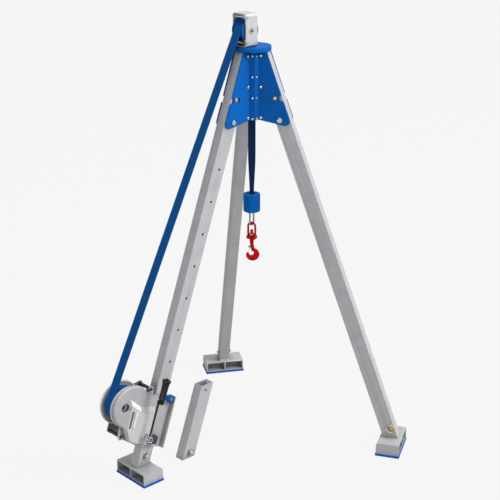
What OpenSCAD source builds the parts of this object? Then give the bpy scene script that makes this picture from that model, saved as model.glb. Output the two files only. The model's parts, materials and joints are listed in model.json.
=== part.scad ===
// Three-legged rescue tripod with a head sheave, a webbing strap, a swivel hook
// and a geared hand winch clamped to the front left leg.
// Z is up, the ground is z = 0 and the origin is the middle of the footprint.
// Each leg has its own frame: X points out of the leg, Y runs sideways, Z runs up the leg.

/* [Tripod] */
// Distance of the leg pivot inwards from the middle of its leg
pivot_inset = 10.28; // [4:0.02:14]
// Lean of each leg from the vertical, in degrees
lean = 20; // [16:0.5:24]
// Height of the underside of the head disc
head_height = 1911; // [1700:1:2200]
// Angle that a leg folds in from its working place, in degrees
fold_angle = 20; // [10:1:24]

/* [Leg tube] */
// Depth of the leg tube, measured away from the centre line
leg_depth = 70; // [60:1:80]
// Width of the leg tube, measured sideways
leg_width = 50; // [44:1:56]
// Wall of the leg tube
leg_wall = 4; // [3:0.5:6]
// Number of peg holes in the winch leg
peg_holes = 7; // [3:1:8]
// Distance between two peg holes
peg_pitch = 152; // [100:1:156]
// Height of the lowest peg hole along the leg
peg_first = 575; // [520:1:600]
// Diameter of a peg hole
peg_d = 11; // [8:0.5:14]

/* [Feet] */
// Length of a foot away from the centre line
foot_length = 111; // [90:1:130]
// Width of a foot, sideways
foot_width = 205; // [160:1:220]
// Height of the foot box without its pad
foot_box_h = 55; // [45:1:65]
// Wall of the foot box
foot_wall = 6; // [4:0.5:8]
// Thickness of the rubber pad
pad_h = 11; // [6:0.5:14]
// How far the pad stands out round the foot
pad_lip = 3; // [1:0.5:5]
// Bevel on the inner top edge of the foot
foot_bevel = 9; // [4:0.5:12]
// Height of the spigot that enters the leg, along the leg
spigot_h = 170; // [140:1:200]
// Height of the foot pin along the leg
foot_pin_h = 118; // [105:1:128]
// Diameter of the foot pin
foot_pin_d = 12; // [8:0.5:14]
// Diameter of a pull ring, to the middle of its wire
ring_d = 40; // [30:1:46]
// Wire of a pull ring
ring_wire = 4.5; // [3:0.5:6]

/* [Head] */
// Diameter of the head disc
disc_d = 178; // [172:1:200]
// Thickness of the head disc
disc_h = 22; // [14:1:26]
// Plate thickness of the folded side sheets
sheet_t = 6; // [4:0.5:7]
// Gap between a leg and a side sheet
sheet_gap = 2; // [1.6:0.1:3]
// Distance from the centre line to the outer face of a fold strip
strip_reach = 55.5; // [52:0.5:58]
// Distance from the centre line to the stop that a leg rests on
stop_reach = 60; // [58:0.5:62]
// Wall of the hexagonal core
core_wall = 6; // [4:0.5:8]
// Distance from the centre line to a leg pivot
pivot_reach = 142.5; // [138:0.5:150]
// Drop of the leg pivot below the disc
pivot_drop = 309; // [290:1:330]
// Distance of the lock hole from the pivot
lock_rise = 101; // [90:1:110]
// Diameter of the lock hole and of the folding notch
lock_hole_d = 28; // [26:0.5:32]
// Diameter of the lock bolt
lock_bolt_d = 24; // [18:0.5:25]
// Travel of the lock bolt
lock_travel = 7; // [4:0.5:8]
// Diameter of the pivot bolt
pivot_d = 16; // [12:0.5:20]
// Outer diameter of the pivot bush
bush_d = 22; // [20:0.5:26]

/* [Sheave] */
// Diameter of the sheave under the strap
sheave_d = 80; // [70:1:86]
// Diameter of the sheave flanges
sheave_rim_d = 100; // [94:1:106]
// Thickness of a sheave flange
sheave_rim_t = 7; // [4:0.5:8]
// Height of the sheave axle above the disc
sheave_rise = 73; // [68:1:78]
// Sheave axle diameter
sheave_axle_d = 18; // [14:0.5:20]
// Outer diameter of the sheave bearings
sheave_bearing_d = 36; // [30:1:40]
// Length of the bracket tube, away from the centre line
bracket_len = 70; // [60:1:76]
// Height of the bracket tube
bracket_h = 150; // [144:1:160]
// Wall of the bracket tube
bracket_wall = 5.5; // [4:0.5:6]
// Outer corner radius of the bracket tube
bracket_corner = 12; // [8:1:16]

/* [Strap] */
// Width of the webbing
strap_w = 50; // [40:1:52]
// Thickness of the webbing
strap_t = 2.6; // [2:0.1:3]
// Running gap between the webbing and what turns under it
strap_gap = 0.3; // [0.2:0.05:0.5]
// Outside radius of the webbing wound on the drum
wound_r = 83.6; // [76:0.2:92]

/* [Hook] */
// Height of the top of the hook weight
weight_top = 1234; // [1150:1:1400]
// Height of the hook weight
weight_h = 88; // [70:1:100]
// Diameter of the hook weight
weight_d = 80; // [70:1:90]
// Wire diameter of the shackle
shackle_wire = 8; // [6:0.5:10]
// Width of the shackle between wire centres
shackle_w = 28; // [26:1:32]
// Drop from the weight to the lowest point of the shackle
shackle_drop = 72; // [60:1:80]
// Bar diameter of the swivel eye
eye_wire = 10; // [8:0.5:11]
// Width of the swivel eye between bar centres
eye_w = 37; // [34:1:42]
// Height of the swivel eye
eye_h = 85; // [80:1:100]
// Diameter of the hook shank
shank_d = 14; // [12:0.5:16]
// Radius of the hook bowl to the middle of the bar
bowl_r = 21.5; // [20:0.5:24]
// Thickest bar of the hook
hook_bar = 24; // [20:0.5:25]

/* [Winch] */
// Distance of the drum axis out from the leg axis
drum_out = 190; // [182:1:198]
// Height of the drum axis along the leg
drum_up = 358; // [345:1:370]
// Diameter of the drum flanges
flange_d = 210; // [200:1:220]
// Thickness of a drum flange
flange_t = 9.5; // [7:0.5:10]
// Diameter of the bare drum barrel
barrel_d = 90; // [70:1:110]
// Diameter of the drum shaft
drum_shaft_d = 20; // [16:0.5:22]
// Distance of the crank axis out from the leg axis
crank_out = 84; // [80:1:88]
// Module of the drum gear and its pinion
drum_module = 3; // [3:0.5:3]
// Teeth of the drum gear
drum_teeth = 50; // [50:1:50]
// Module of the crank gear and its pinion
lay_module = 2.5; // [2.5:0.5:2.5]
// Teeth of the layshaft gear
lay_teeth = 44; // [44:1:44]
// Teeth of each pinion
pinion_teeth = 14; // [14:1:14]
// Width of a gear
gear_w = 8; // [6:0.5:9]
// Diameter of the layshaft and the crank shaft
shaft_d = 16; // [12:0.5:18]
// Radius of the round part of the gear cover
cover_r = 98; // [94:1:101]
// Wall of the gear cover
cover_wall = 5; // [4:0.5:6]
// Radius of the opening over the drum hub
hub_hole_r = 23; // [18:0.5:26]
// Length of the crank arm
crank_len = 180; // [150:1:184]
// Diameter of the crank arm
crank_rod_d = 10; // [8:0.5:12]
// Length of the crank grip
grip_len = 92; // [80:1:110]
// Diameter of the crank grip
grip_d = 29; // [24:1:32]

/* [Winch bracket] */
// Length of the winch bracket along the leg
channel_len = 250; // [240:1:280]
// Height of the bottom of the winch bracket along the leg
channel_up = 166; // [160:1:175]
// Wall of the winch bracket
channel_wall = 6; // [4:0.5:7]
// How far the bracket reaches behind the leg
channel_back = 36; // [32:1:44]
// Width of the turned-out edge of the bracket
channel_lip = 22; // [16:1:26]
// Diameter of the bracket locking pin
lock_pin_d = 20; // [16:0.5:22]
// Diameter of the locking pin knob
knob_d = 37; // [30:1:42]

/* [Spare leg piece] */
// Height of the spare leg piece
spare_h = 350; // [300:1:400]
// Distance from the winch leg to the spare piece, along the ground
spare_off = 297; // [280:1:320]

/* [Hidden] */
$fn = 48;

aluminium = [0.76, 0.76, 0.77];
cast_grey = [0.68, 0.68, 0.68];
blue = [0.1, 0.4, 0.75];
strap_blue = [0.08, 0.31, 0.54];
chrome = [0.85, 0.85, 0.86];
steel = [0.45, 0.46, 0.48];
black = [0.07, 0.07, 0.07];
red = [0.75, 0.03, 0.03];
yellow = [0.93, 0.76, 0.2];

// Leg directions: winch leg, right leg and rear leg
az_a = 210;
az_b = 330;
az_c = 90;

// Small fits and allowances
run_fit = 0.05;
seat_gap = 0.3;
cut = 1;
big = 2500;

// Leg frame
foot_top = foot_box_h + pad_h;
half_depth = leg_depth / 2;
half_width = leg_width / 2;
pivot_z = head_height - pivot_drop;
pivot_in = -pivot_inset;
leg_ground_r = pivot_reach + (pivot_z * sin(lean) + pivot_inset) / cos(lean);
foot_circle = leg_ground_r - foot_top * tan(lean);
pivot_up = (leg_ground_r - pivot_reach) * sin(lean) + pivot_z * cos(lean);
lock_up = pivot_up + lock_rise;
leg_top_gap = 2;
leg_top_up = (head_height - leg_top_gap - half_depth * sin(lean)) / cos(lean);
stop_gap = 0.5;

// Place of a point of the leg frame in the upright plane through the leg
function plane_r(out, up) = leg_ground_r - up * sin(lean) + out * cos(lean);
function plane_z(out, up) = up * cos(lean) + out * sin(lean);

// Head
plate_in = half_width + sheet_gap;
plate_out = plate_in + sheet_t;
strip_in = strip_reach - sheet_t;
fold_r = (strip_in - plate_in * sin(30)) / cos(30);
ridge_r = strip_reach / cos(30);
ridge_in_r = strip_in / cos(30);
sheet_low = pivot_z - 4;
corner_r = 24;
corner_c = [pivot_reach + 23.5, pivot_z - 1];
sheet_top_r = 80;
sheet_kink = [pivot_reach + 4.5, pivot_z + 120];
lock_r = plane_r(0, lock_up);
lock_z = plane_z(0, lock_up);
lock_arm = [lock_r - pivot_reach, lock_z - pivot_z];
notch = [
    pivot_reach + lock_arm[0] * cos(fold_angle) + lock_arm[1] * sin(fold_angle),
    pivot_z - lock_arm[0] * sin(fold_angle) + lock_arm[1] * cos(fold_angle)
];
screw_rows = 4;
screw_d = 6;
screw_head_d = 11;
screw_pitch = 96;
bolt_rows = 3;
bolt_d = 8;
bolt_head_d = 15;
bolt_pitch = 142;
fastener_margin = 6;
bolt_r = (fold_r + stop_reach) / 2 + 1.5;
slot_w = strap_w + 12;
slot_d = 16;

// Sheave and strap
disc_top = head_height + disc_h;
strap_in_r = sheave_d / 2 + strap_gap;
strap_mid_r = strap_in_r + strap_t / 2;
sheave_r = strap_mid_r;
sheave_z = disc_top + sheave_rise;
bracket_w = strap_w + 38;
bracket_in = bracket_w / 2 - bracket_wall;
rim_out = strap_w / 2 + 3 + sheave_rim_t;
drum_r = plane_r(drum_out, drum_up);
drum_z = plane_z(drum_out, drum_up);
run_mid_r = wound_r + strap_gap + strap_t / 2;
run_dx = drum_r - sheave_r;
run_dz = sheave_z - drum_z;
run_far = sqrt(run_dx * run_dx + run_dz * run_dz);
run_tilt = atan2(run_dx, run_dz) + asin((run_mid_r - strap_mid_r) / run_far);
run_len = sqrt(run_far * run_far - pow(run_mid_r - strap_mid_r, 2));
run_wrap = 55;

// Hook
weight_low = weight_top - weight_h;
shackle_low = weight_low - shackle_drop;
shackle_az = 37;
eye_az = 322;
shackle_mid = shackle_low + shackle_wire / 2;
eye_top = shackle_mid + (shackle_wire + eye_wire) / 2 + seat_gap;
eye_low = eye_top + eye_wire / 2 - eye_h;
eye_base_h = 18;
hook_az = -13;
bowl_z = eye_low - 76;
nut_h = 10;
latch_pin = [-10, eye_low - 41];
latch_pin_d = 4;

// Winch
drum_half = strap_w / 2 + 3.5;
flange_out = drum_half + flange_t;
plate_t = 4;
gear_plate_t0 = flange_out + 1;
gear_plate_t1 = gear_plate_t0 + plate_t;
back_plate_t1 = -flange_out - 2.5;
back_plate_t0 = back_plate_t1 - plate_t;
gear_t0 = gear_plate_t1 + 1.5;
gear_t1 = gear_t0 + gear_w;
cover_face = gear_plate_t1 + 17;
lay_t0 = cover_face - 1;
lay_t1 = lay_t0 + gear_w;
raised_face = lay_t1 + 1.5 + cover_wall;
crank_t0 = raised_face + 31;
crank_mid = crank_t0 + crank_rod_d / 2;
lay_dist = drum_module * (drum_teeth + pinion_teeth) / 2;
crank_dist = lay_module * (lay_teeth + pinion_teeth) / 2;
crank_up = drum_up - 129;
dk_out = crank_out - drum_out;
dk_up = crank_up - drum_up;
dk = sqrt(dk_out * dk_out + dk_up * dk_up);
dk_a = atan2(dk_up, dk_out);
lay_a = dk_a + acos((lay_dist * lay_dist + dk * dk - crank_dist * crank_dist) / (2 * lay_dist * dk));
lay_out = drum_out + lay_dist * cos(lay_a);
lay_up = drum_up + lay_dist * sin(lay_a);
lay_to_crank_a = atan2(crank_up - lay_up, crank_out - lay_out);
grip_off = 17;
grip_mid = crank_mid + grip_off;
fork_up = crank_up + crank_len;
ear = [196, drum_up - 141];
top_rod = [86, drum_up + 88];
tie_d = 12;

// Winch bracket
channel_in = half_width + 0.6;
channel_out = channel_in + channel_wall;
web_in = half_depth + 0.6;
web_out = web_in + channel_wall;
lock_pin_out = -half_depth - 0.6 - lock_pin_d / 2;
lock_pin_up = channel_up + channel_len - 12;
hook_pin_up = channel_up + 22;

// The footprint of the whole tripod, which sets the origin
x_high = cos(az_b) * (foot_circle + foot_length / 2 + pad_lip)
    - sin(az_b) * (foot_width / 2 + pad_lip);
x_low = cos(az_a) * drum_r - flange_d / 2 * abs(cos(az_a)) - abs(sin(az_a)) * flange_out;
y_high = foot_circle + foot_length / 2 + pad_lip;
y_low = sin(az_a) * drum_r - cover_r * abs(sin(az_a)) + cos(az_a) * (cover_face - 8);
shift = [-(x_high + x_low) / 2, -(y_high + y_low) / 2, 0];

// Frame of the upright plane in direction az: X away from the centre line
module in_plane(az) {
    translate(shift) rotate([0, 0, az]) children();
}

// Frame of the leg in direction az: X out of the leg, Y sideways, Z up the leg
module on_leg(az) {
    in_plane(az) translate([leg_ground_r, 0, 0]) rotate([0, -lean, 0]) children();
}

// Extrudes an outline drawn in X and Z sideways, from y0 to y1
module slab(y0, y1) {
    translate([0, y1, 0]) rotate([90, 0, 0]) linear_extrude(height = y1 - y0) children();
}

// Turns a profile of radius and sideways distance about an axis through (out, up)
module turned(out, up) {
    translate([out, 0, up]) rotate([-90, 0, 0]) rotate_extrude($fn = 96) children();
}

// Round bar or hole lying sideways through (out, up), from y0 to y1
module cross_bar(out, up, d, y0, y1) {
    translate([out, y0, up]) rotate([-90, 0, 0]) cylinder(h = y1 - y0, d = d);
}

// Rectangle with round corners
module round_rect(w, h, r) {
    x = w / 2 - r;
    y = h / 2 - r;
    polygon(concat(arc([x, y], r, 0, 90, 8), arc([-x, y], r, 90, 180, 8),
        arc([-x, -y], r, 180, 270, 8), arc([x, -y], r, 270, 360, 8)));
}

// Point where a line from p touches the circle of radius r round c
function touch(p, c, r, side) =
    let (d = p - c, a = atan2(d[1], d[0]) + side * acos(r / norm(d)))
    c + r * [cos(a), sin(a)];

// Points of an arc round c from angle a0 to a1
function arc(c, r, a0, a1, steps) =
    [for (i = [0:steps]) let (a = a0 + (a1 - a0) * i / steps) c + r * [cos(a), sin(a)]];

// Head disc with the slot that the strap runs through
module head_disc() {
    color(blue) in_plane(az_a) difference() {
        translate([0, 0, head_height]) rotate_extrude($fn = 96)
            polygon([[0, 0], [disc_d / 2 - 1, 0], [disc_d / 2, 1], [disc_d / 2, disc_h - 2],
                [disc_d / 2 - 2, disc_h], [0, disc_h]]);
        translate([-2, 0, head_height - cut]) linear_extrude(height = disc_h + 2 * cut)
            rotate(90) round_rect(slot_w, slot_d, slot_d / 2 - 0.01);
    }
}

// Core outline: the fold strips lie on its six faces and each leg stops on a flat
function core_point(az, r, y) = [r * cos(az) - y * sin(az), r * sin(az) + y * cos(az)];
core_outline = [for (az = [az_c, az_a, az_b]) each [
    core_point(az, fold_r, -plate_in), core_point(az, stop_reach, -plate_in),
    core_point(az, stop_reach, plate_in), core_point(az, fold_r, plate_in),
    core_point(az + 60, ridge_in_r, 0)
]];

module head_core() {
    color(blue) translate(shift) difference() {
        translate([0, 0, sheet_low]) linear_extrude(height = head_height - sheet_low) difference() {
            polygon(core_outline);
            rotate(30) circle(r = (strip_in - core_wall) / cos(30), $fn = 6);
        }
        strip_fasteners(screw_d + 2 * run_fit, 16);
        plate_fasteners(bolt_d + 2 * run_fit, 16);
    }
}

// Rows of small screws through the fold strips, or their holes
module strip_fasteners(d, depth) {
    for (az = [30, 150, 270], side = [-1, 1], i = [0:screw_rows - 1])
        rotate([0, 0, az + side * 30])
            translate([strip_reach, -side * strip_run_mid, screw_z(i)])
                rotate([0, -90, 0]) cylinder(h = depth, d = d, $fn = 24);
}

function screw_z(i) = sheet_low + fastener_margin + i * screw_pitch;

// Middle of a fold strip, measured along it from the middle of its core face
strip_run_end = (plate_out - strip_reach * cos(60)) / sin(60);
strip_run_mid = (strip_reach * tan(30) + strip_run_end) / 2;

// Rows of larger bolts near the inner edge of each plate, or their holes
module plate_fasteners(d, depth) {
    for (az = [az_a, az_b, az_c], side = [-1, 1], i = [0:bolt_rows - 1])
        rotate([0, 0, az])
            translate([bolt_r, side * plate_out, sheet_low + fastener_margin + 4 + i * bolt_pitch])
                rotate([side * 90, 0, 0]) cylinder(h = depth, d = d, $fn = 24);
}

// Outline of a side plate in the upright plane of its leg
module plate_outline() {
    t1 = touch(sheet_kink, corner_c, corner_r, -1);
    t2 = touch([fold_r, sheet_low], corner_c, corner_r, 1);
    difference() {
        union() {
            polygon([[fold_r, head_height], [sheet_top_r, head_height], sheet_kink, t1,
                corner_c, t2, [fold_r, sheet_low]]);
            translate(corner_c) circle(corner_r, $fn = 72);
        }
        translate([lock_r, lock_z]) circle(d = lock_hole_d);
        translate(notch) circle(d = lock_hole_d + 2);
        translate([pivot_reach, pivot_z]) circle(d = pivot_d + 2 * run_fit);
    }
}

// One folded sheet: a plate beside each of two legs and a ridged strip between them
module side_sheet(az) {
    in_x = fold_r * cos(60) + plate_in * sin(60);
    in_y = fold_r * sin(60) - plate_in * cos(60);
    out_x = (plate_out + strip_reach) / (2 * cos(30));
    color(blue) translate(shift) difference() {
        rotate([0, 0, az]) union() {
            translate([0, 0, sheet_low]) linear_extrude(height = head_height - sheet_low)
                polygon([[out_x, -in_y], [ridge_r, 0], [out_x, in_y],
                    [in_x, in_y], [ridge_in_r, 0], [in_x, -in_y]]);
            rotate([0, 0, -60]) slab(plate_in, plate_out) plate_outline();
            rotate([0, 0, 60]) slab(-plate_out, -plate_in) plate_outline();
        }
        strip_fasteners(screw_d + 2 * run_fit, 16);
        plate_fasteners(bolt_d + 2 * run_fit, 16);
    }
}

module side_sheet_front() side_sheet(270);
module side_sheet_right() side_sheet(30);
module side_sheet_left() side_sheet(150);

module core_screws() {
    head = 3.5;
    color(chrome) translate(shift) {
        strip_fasteners(screw_d, 14);
        for (az = [30, 150, 270], side = [-1, 1], i = [0:screw_rows - 1])
            rotate([0, 0, az + side * 30])
                translate([strip_reach, -side * strip_run_mid, screw_z(i)]) rotate([0, 90, 0])
                    cylinder(h = head, d1 = screw_head_d, d2 = screw_head_d - 4, $fn = 24);
    }
}

module sheet_bolts() {
    head = 5;
    color(chrome) translate(shift) {
        plate_fasteners(bolt_d, 14);
        for (az = [az_a, az_b, az_c], side = [-1, 1], i = [0:bolt_rows - 1])
            rotate([0, 0, az])
                translate([bolt_r, side * plate_out, sheet_low + fastener_margin + 4 + i * bolt_pitch])
                    rotate([-side * 90, 0, 0])
                        cylinder(h = head, d1 = bolt_head_d, d2 = bolt_head_d - 3, $fn = 24);
    }
}

// Leg pivots: a shouldered bolt through both plates and the leg, with domed ends
module pivot_bolts() {
    head_d = pivot_d + 9;
    head_h = 6;
    for (az = [az_a, az_b, az_c])
        color(chrome) in_plane(az) turned(pivot_reach, pivot_z) polygon([
            [0, -plate_out - head_h - 2], [head_d / 2 - 5, -plate_out - head_h - 2],
            [head_d / 2, -plate_out - head_h + 2], [head_d / 2, -plate_out], [pivot_d / 2, -plate_out],
            [pivot_d / 2, plate_out], [head_d / 2, plate_out], [head_d / 2, plate_out + head_h - 2],
            [head_d / 2 - 5, plate_out + head_h + 2], [0, plate_out + head_h + 2]]);
}

// Short length of box tube that carries the sheave on the disc
module sheave_bracket() {
    x0 = sheave_r - bracket_len / 2;
    mid_z = disc_top + bracket_h / 2;
    color(aluminium) in_plane(az_a) difference() {
        translate([x0, 0, mid_z]) rotate([90, 0, 90]) linear_extrude(height = bracket_len) difference() {
            round_rect(bracket_w, bracket_h, bracket_corner);
            round_rect(2 * bracket_in, bracket_h - 2 * bracket_wall, bracket_corner - bracket_wall);
        }
        cross_bar(sheave_r, sheave_z, sheave_axle_d + 2 * run_fit, -bracket_w, bracket_w);
        for (p = guard_places)
            cross_bar(p[0], p[1], guard_d + 2 * run_fit, -bracket_w, bracket_w);
    }
}

guard_d = 8;
guard_places = [
    [sheave_r + bracket_len / 2 - 7, disc_top + bracket_h - 16],
    [sheave_r + bracket_len / 2 - 7, disc_top + 20]
];

// Hollow axle of the sheave with a collar at each end
module sheave_axle() {
    ra = sheave_axle_d / 2;
    end = bracket_w / 2;
    color(chrome) in_plane(az_a) turned(sheave_r, sheave_z) polygon([
        [ra - 3.5, -end - 2], [ra + 4, -end - 2], [ra + 4, -end], [ra, -end], [ra, end],
        [ra + 4, end], [ra + 4, end + 2], [ra - 3.5, end + 2]]);
}

// Two cross pins that keep the strap in the bracket
module strap_guards() {
    end = bracket_w / 2;
    rg = guard_d / 2;
    for (p = guard_places)
        color(chrome) in_plane(az_a) turned(p[0], p[1]) polygon([
            [0, -end - 3], [rg + 2.5, -end - 3], [rg + 2.5, -end], [rg, -end], [rg, end],
            [rg + 2.5, end], [rg + 2.5, end + 3], [0, end + 3]]);
}

// Sheave: a crowned barrel between two flanges, bored for its bearings
module sheave() {
    half = strap_w / 2 + 3;
    color(blue) in_plane(az_a) turned(sheave_r, sheave_z) polygon([
        [sheave_bearing_d / 2 + run_fit, -rim_out], [sheave_rim_d / 2 - 2, -rim_out],
        [sheave_rim_d / 2, -rim_out + 2], [sheave_rim_d / 2, -half - 2], [sheave_d / 2, -half],
        [sheave_d / 2, half], [sheave_rim_d / 2, half + 2], [sheave_rim_d / 2, rim_out - 2],
        [sheave_rim_d / 2 - 2, rim_out], [sheave_bearing_d / 2 + run_fit, rim_out]]);
}

// Two flanged ball bearings, each drawn as one ring
module sheave_bearings() {
    inner = sheave_axle_d / 2 + run_fit;
    for (side = [-1, 1])
        color(steel) in_plane(az_a) turned(sheave_r, sheave_z) polygon([
            [inner, side * 4], [sheave_bearing_d / 2, side * 4], [sheave_bearing_d / 2, side * rim_out],
            [inner + 4, side * rim_out], [inner + 4, side * (bracket_in - 0.4)],
            [inner, side * (bracket_in - 0.4)]]);
}

// Strap where it passes over the sheave, from the winch side to the hook side
module strap_over_sheave() {
    color(strap_blue) in_plane(az_a) translate([sheave_r, strap_w / 2, sheave_z]) rotate([90, 0, 0])
        rotate([0, 0, run_tilt + 0.3])
            linear_extrude(height = strap_w)
                ring_sector(strap_in_r, strap_in_r + strap_t, 180 - run_tilt - 0.6);
}

// Flat sector of a ring from angle 0 to a
module ring_sector(r0, r1, a) {
    reach = 3 * r1;
    intersection() {
        difference() {
            circle(r1, $fn = 120);
            circle(r0, $fn = 120);
        }
        polygon(concat([[0, 0]], [for (i = [0:4]) reach * [cos(a * i / 4), sin(a * i / 4)]]));
    }
}

// Strap from the sheave down to the hook weight, narrowing where it is gathered
module strap_hanging() {
    half = strap_w / 2;
    low = weight_top - 24;
    side = [[half, sheave_z - 0.3], [half, weight_top + 170], [half - 4, weight_top + 70],
        [half - 10, weight_top + 8], [half - 11, low]];
    color(strap_blue) in_plane(az_a) translate([-strap_t / 2, 0, 0]) rotate([90, 0, 90])
        linear_extrude(height = strap_t)
            polygon(concat(side, [for (i = [len(side) - 1:-1:0]) [-side[i][0], side[i][1]]]));
}

// Strap from the sheave to the drum, with the first part of its turn round the drum
module strap_run() {
    across = [cos(run_tilt), sin(run_tilt)];
    along = [sin(run_tilt), -cos(run_tilt)];
    top = [sheave_r, sheave_z] + 0.5 * along;
    mid = [drum_r, drum_z];
    color(strap_blue) in_plane(az_a) slab(-strap_w / 2, strap_w / 2) polygon(concat(
        [top + strap_in_r * across, top + (strap_in_r + strap_t) * across],
        arc(mid, run_mid_r + strap_t / 2, run_tilt, run_tilt - run_wrap, 24),
        arc(mid, run_mid_r - strap_t / 2, run_tilt - run_wrap, run_tilt, 24)));
}

// Round weight that pulls the empty hook down, hollowed for the strap and the shackle
module hook_weight() {
    edge = 6;
    r = weight_d / 2;
    color(blue) translate(shift) difference() {
        translate([0, 0, weight_low]) rotate_extrude($fn = 72) union() {
            square([r - edge, weight_h]);
            translate([0, edge]) square([r, weight_h - 2 * edge]);
            translate([r - edge, edge]) circle(edge);
            translate([r - edge, weight_h - edge]) circle(edge);
        }
        translate([0, 0, weight_top - 24 - seat_gap]) cylinder(h = weight_h, r = 17);
        rotate([0, 0, shackle_az]) for (side = [-1, 1])
            translate([side * shackle_w / 2, 0, weight_low - cut])
                cylinder(h = 22 + cut, d = shackle_wire + 2 * run_fit);
    }
}

// U-shaped shackle under the weight, with a nut on each leg
module hook_shackle() {
    color(chrome) translate(shift) rotate([0, 0, shackle_az]) {
        translate([0, 0, shackle_mid + shackle_w / 2]) rotate([90, 0, 0]) rotate([0, 0, 180])
            rotate_extrude(angle = 180) translate([shackle_w / 2, 0]) circle(d = shackle_wire);
        for (side = [-1, 1]) translate([side * shackle_w / 2, 0, shackle_mid + shackle_w / 2 - 0.01])
            cylinder(h = weight_low + 21 - shackle_mid - shackle_w / 2, d = shackle_wire);
        for (side = [-1, 1]) translate([side * shackle_w / 2, 0, weight_low - 10])
            cylinder(h = 10, d = shackle_wire + 6, $fn = 6);
    }
}

// Swivel eye: a long bow on a base block that the hook shank turns in
module swivel_eye() {
    bow_r = eye_w / 2;
    bow_z = eye_top - bow_r;
    color(red) translate(shift) rotate([0, 0, eye_az]) difference() {
        union() {
            translate([0, 0, bow_z]) rotate([90, 0, 0]) rotate_extrude(angle = 180)
                translate([bow_r, 0]) circle(d = eye_wire);
            for (side = [-1, 1]) translate([side * bow_r, 0, eye_low + 6])
                cylinder(h = bow_z - eye_low - 6 + 0.01, d = eye_wire);
            translate([0, 0, eye_low + eye_base_h / 2]) rotate([90, 0, 0])
                linear_extrude(height = 22, center = true)
                    round_rect(eye_w + eye_wire, eye_base_h, 6);
        }
        translate([0, 0, eye_low - cut]) cylinder(h = eye_base_h + 2 * cut, d = shank_d + 2 * run_fit);
    }
}

// Centre line and bar size of the hook, from the neck round the bowl to the tip
hook_steps = 26;
function hook_path(i) =
    let (a = 75 - i / hook_steps * 262)
    [1.5 + bowl_r * cos(a) * (i < 3 ? 0.85 + i * 0.05 : 1), bowl_z + bowl_r * sin(a)];
function hook_size(i) =
    let (u = i / hook_steps)
    hook_bar / 2 * (u < 0.45 ? 0.74 + 0.58 * u : 1 - 0.98 * pow(u - 0.45, 1.25));

// Sweeps an oval section along a path in the XZ plane
module swept_bar(pts, sizes, sides, flat) {
    n = len(pts);
    rings = [for (i = [0:n - 1])
        let (a = pts[max(i - 1, 0)], b = pts[min(i + 1, n - 1)], d = (b - a) / norm(b - a))
        [for (k = [0:sides - 1])
            let (w = 360 * k / sides, x = sizes[i] * cos(w), y = sizes[i] * flat * sin(w))
            [pts[i][0] - d[1] * x, y, pts[i][1] + d[0] * x]]];
    points = [for (r = rings) each r];
    walls = [for (i = [0:n - 2], k = [0:sides - 1])
        let (k2 = (k + 1) % sides, p = i * sides, q = p + sides)
        each [[p + k, p + k2, q + k], [p + k2, q + k2, q + k]]];
    start = [for (k = [1:sides - 2]) [0, k + 1, k]];
    last = (n - 1) * sides;
    end = [for (k = [1:sides - 2]) [last, last + k, last + k + 1]];
    polyhedron(points = points, faces = concat(walls, start, end));
}

// Forged hook with its shank, neck, bowl and tip, and a lug for the latch
module lifting_hook() {
    neck = [0, eye_low - 14];
    pts = concat([neck, [0, neck[1] - 9]], [for (i = [0:hook_steps]) hook_path(i)]);
    sizes = concat([shank_d / 2 + 1, shank_d / 2 + 1.2], [for (i = [0:hook_steps]) hook_size(i)]);
    color(red) translate(shift) rotate([0, 0, hook_az]) {
        swept_bar(pts, sizes, 14, 0.86);
        translate([0, 0, neck[1] - 4]) cylinder(h = eye_low - seat_gap - neck[1] + 4, d = shank_d + 6);
        translate([0, 0, neck[1]]) cylinder(h = eye_low + eye_base_h + 28 - neck[1], d = shank_d);
        difference() {
            slab(-4, 4) union() {
                translate(latch_pin) circle(6);
                translate(latch_pin + [0, -3]) square([10, 9]);
            }
            translate([latch_pin[0], 10, latch_pin[1]]) rotate([90, 0, 0])
                cylinder(h = 20, d = latch_pin_d + 2 * run_fit);
        }
    }
}

// Castle nut on the shank and the rivet that the latch turns on
module hook_nut() {
    color(steel) translate(shift) rotate([0, 0, hook_az]) {
        translate([0, 0, eye_low + eye_base_h + seat_gap]) difference() {
            cylinder(h = nut_h, d = shank_d + 9, $fn = 6);
            translate([0, 0, -cut]) cylinder(h = nut_h + 2 * cut, d = shank_d + 2 * run_fit);
        }
        translate([latch_pin[0], 9, latch_pin[1]]) rotate([90, 0, 0])
            cylinder(h = 18, d = latch_pin_d);
    }
}

// Spring latch: two ears on the rivet and a tongue that closes the mouth on the tip
module hook_latch() {
    color(chrome) translate(shift) rotate([0, 0, hook_az]) difference() {
        union() {
            for (side = [-1, 1]) translate([0, side * 5.2, 0]) slab(-0.8, 0.8) union() {
                translate(latch_pin) circle(5);
                polygon([latch_pin + [-5, 0], latch_pin + [4.6, -1], latch_pin + [-0.8, -12],
                    latch_pin + [-3, -12]]);
            }
            slab(-6, 6) polygon([latch_pin + [-2.8, -9.5], latch_pin + [-0.8, -9.5],
                latch_pin + [-3.2, -28], latch_pin + [-5.2, -28]]);
        }
        translate([latch_pin[0], 10, latch_pin[1]]) rotate([90, 0, 0])
            cylinder(h = 20, d = latch_pin_d + 2 * run_fit);
    }
}

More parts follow.
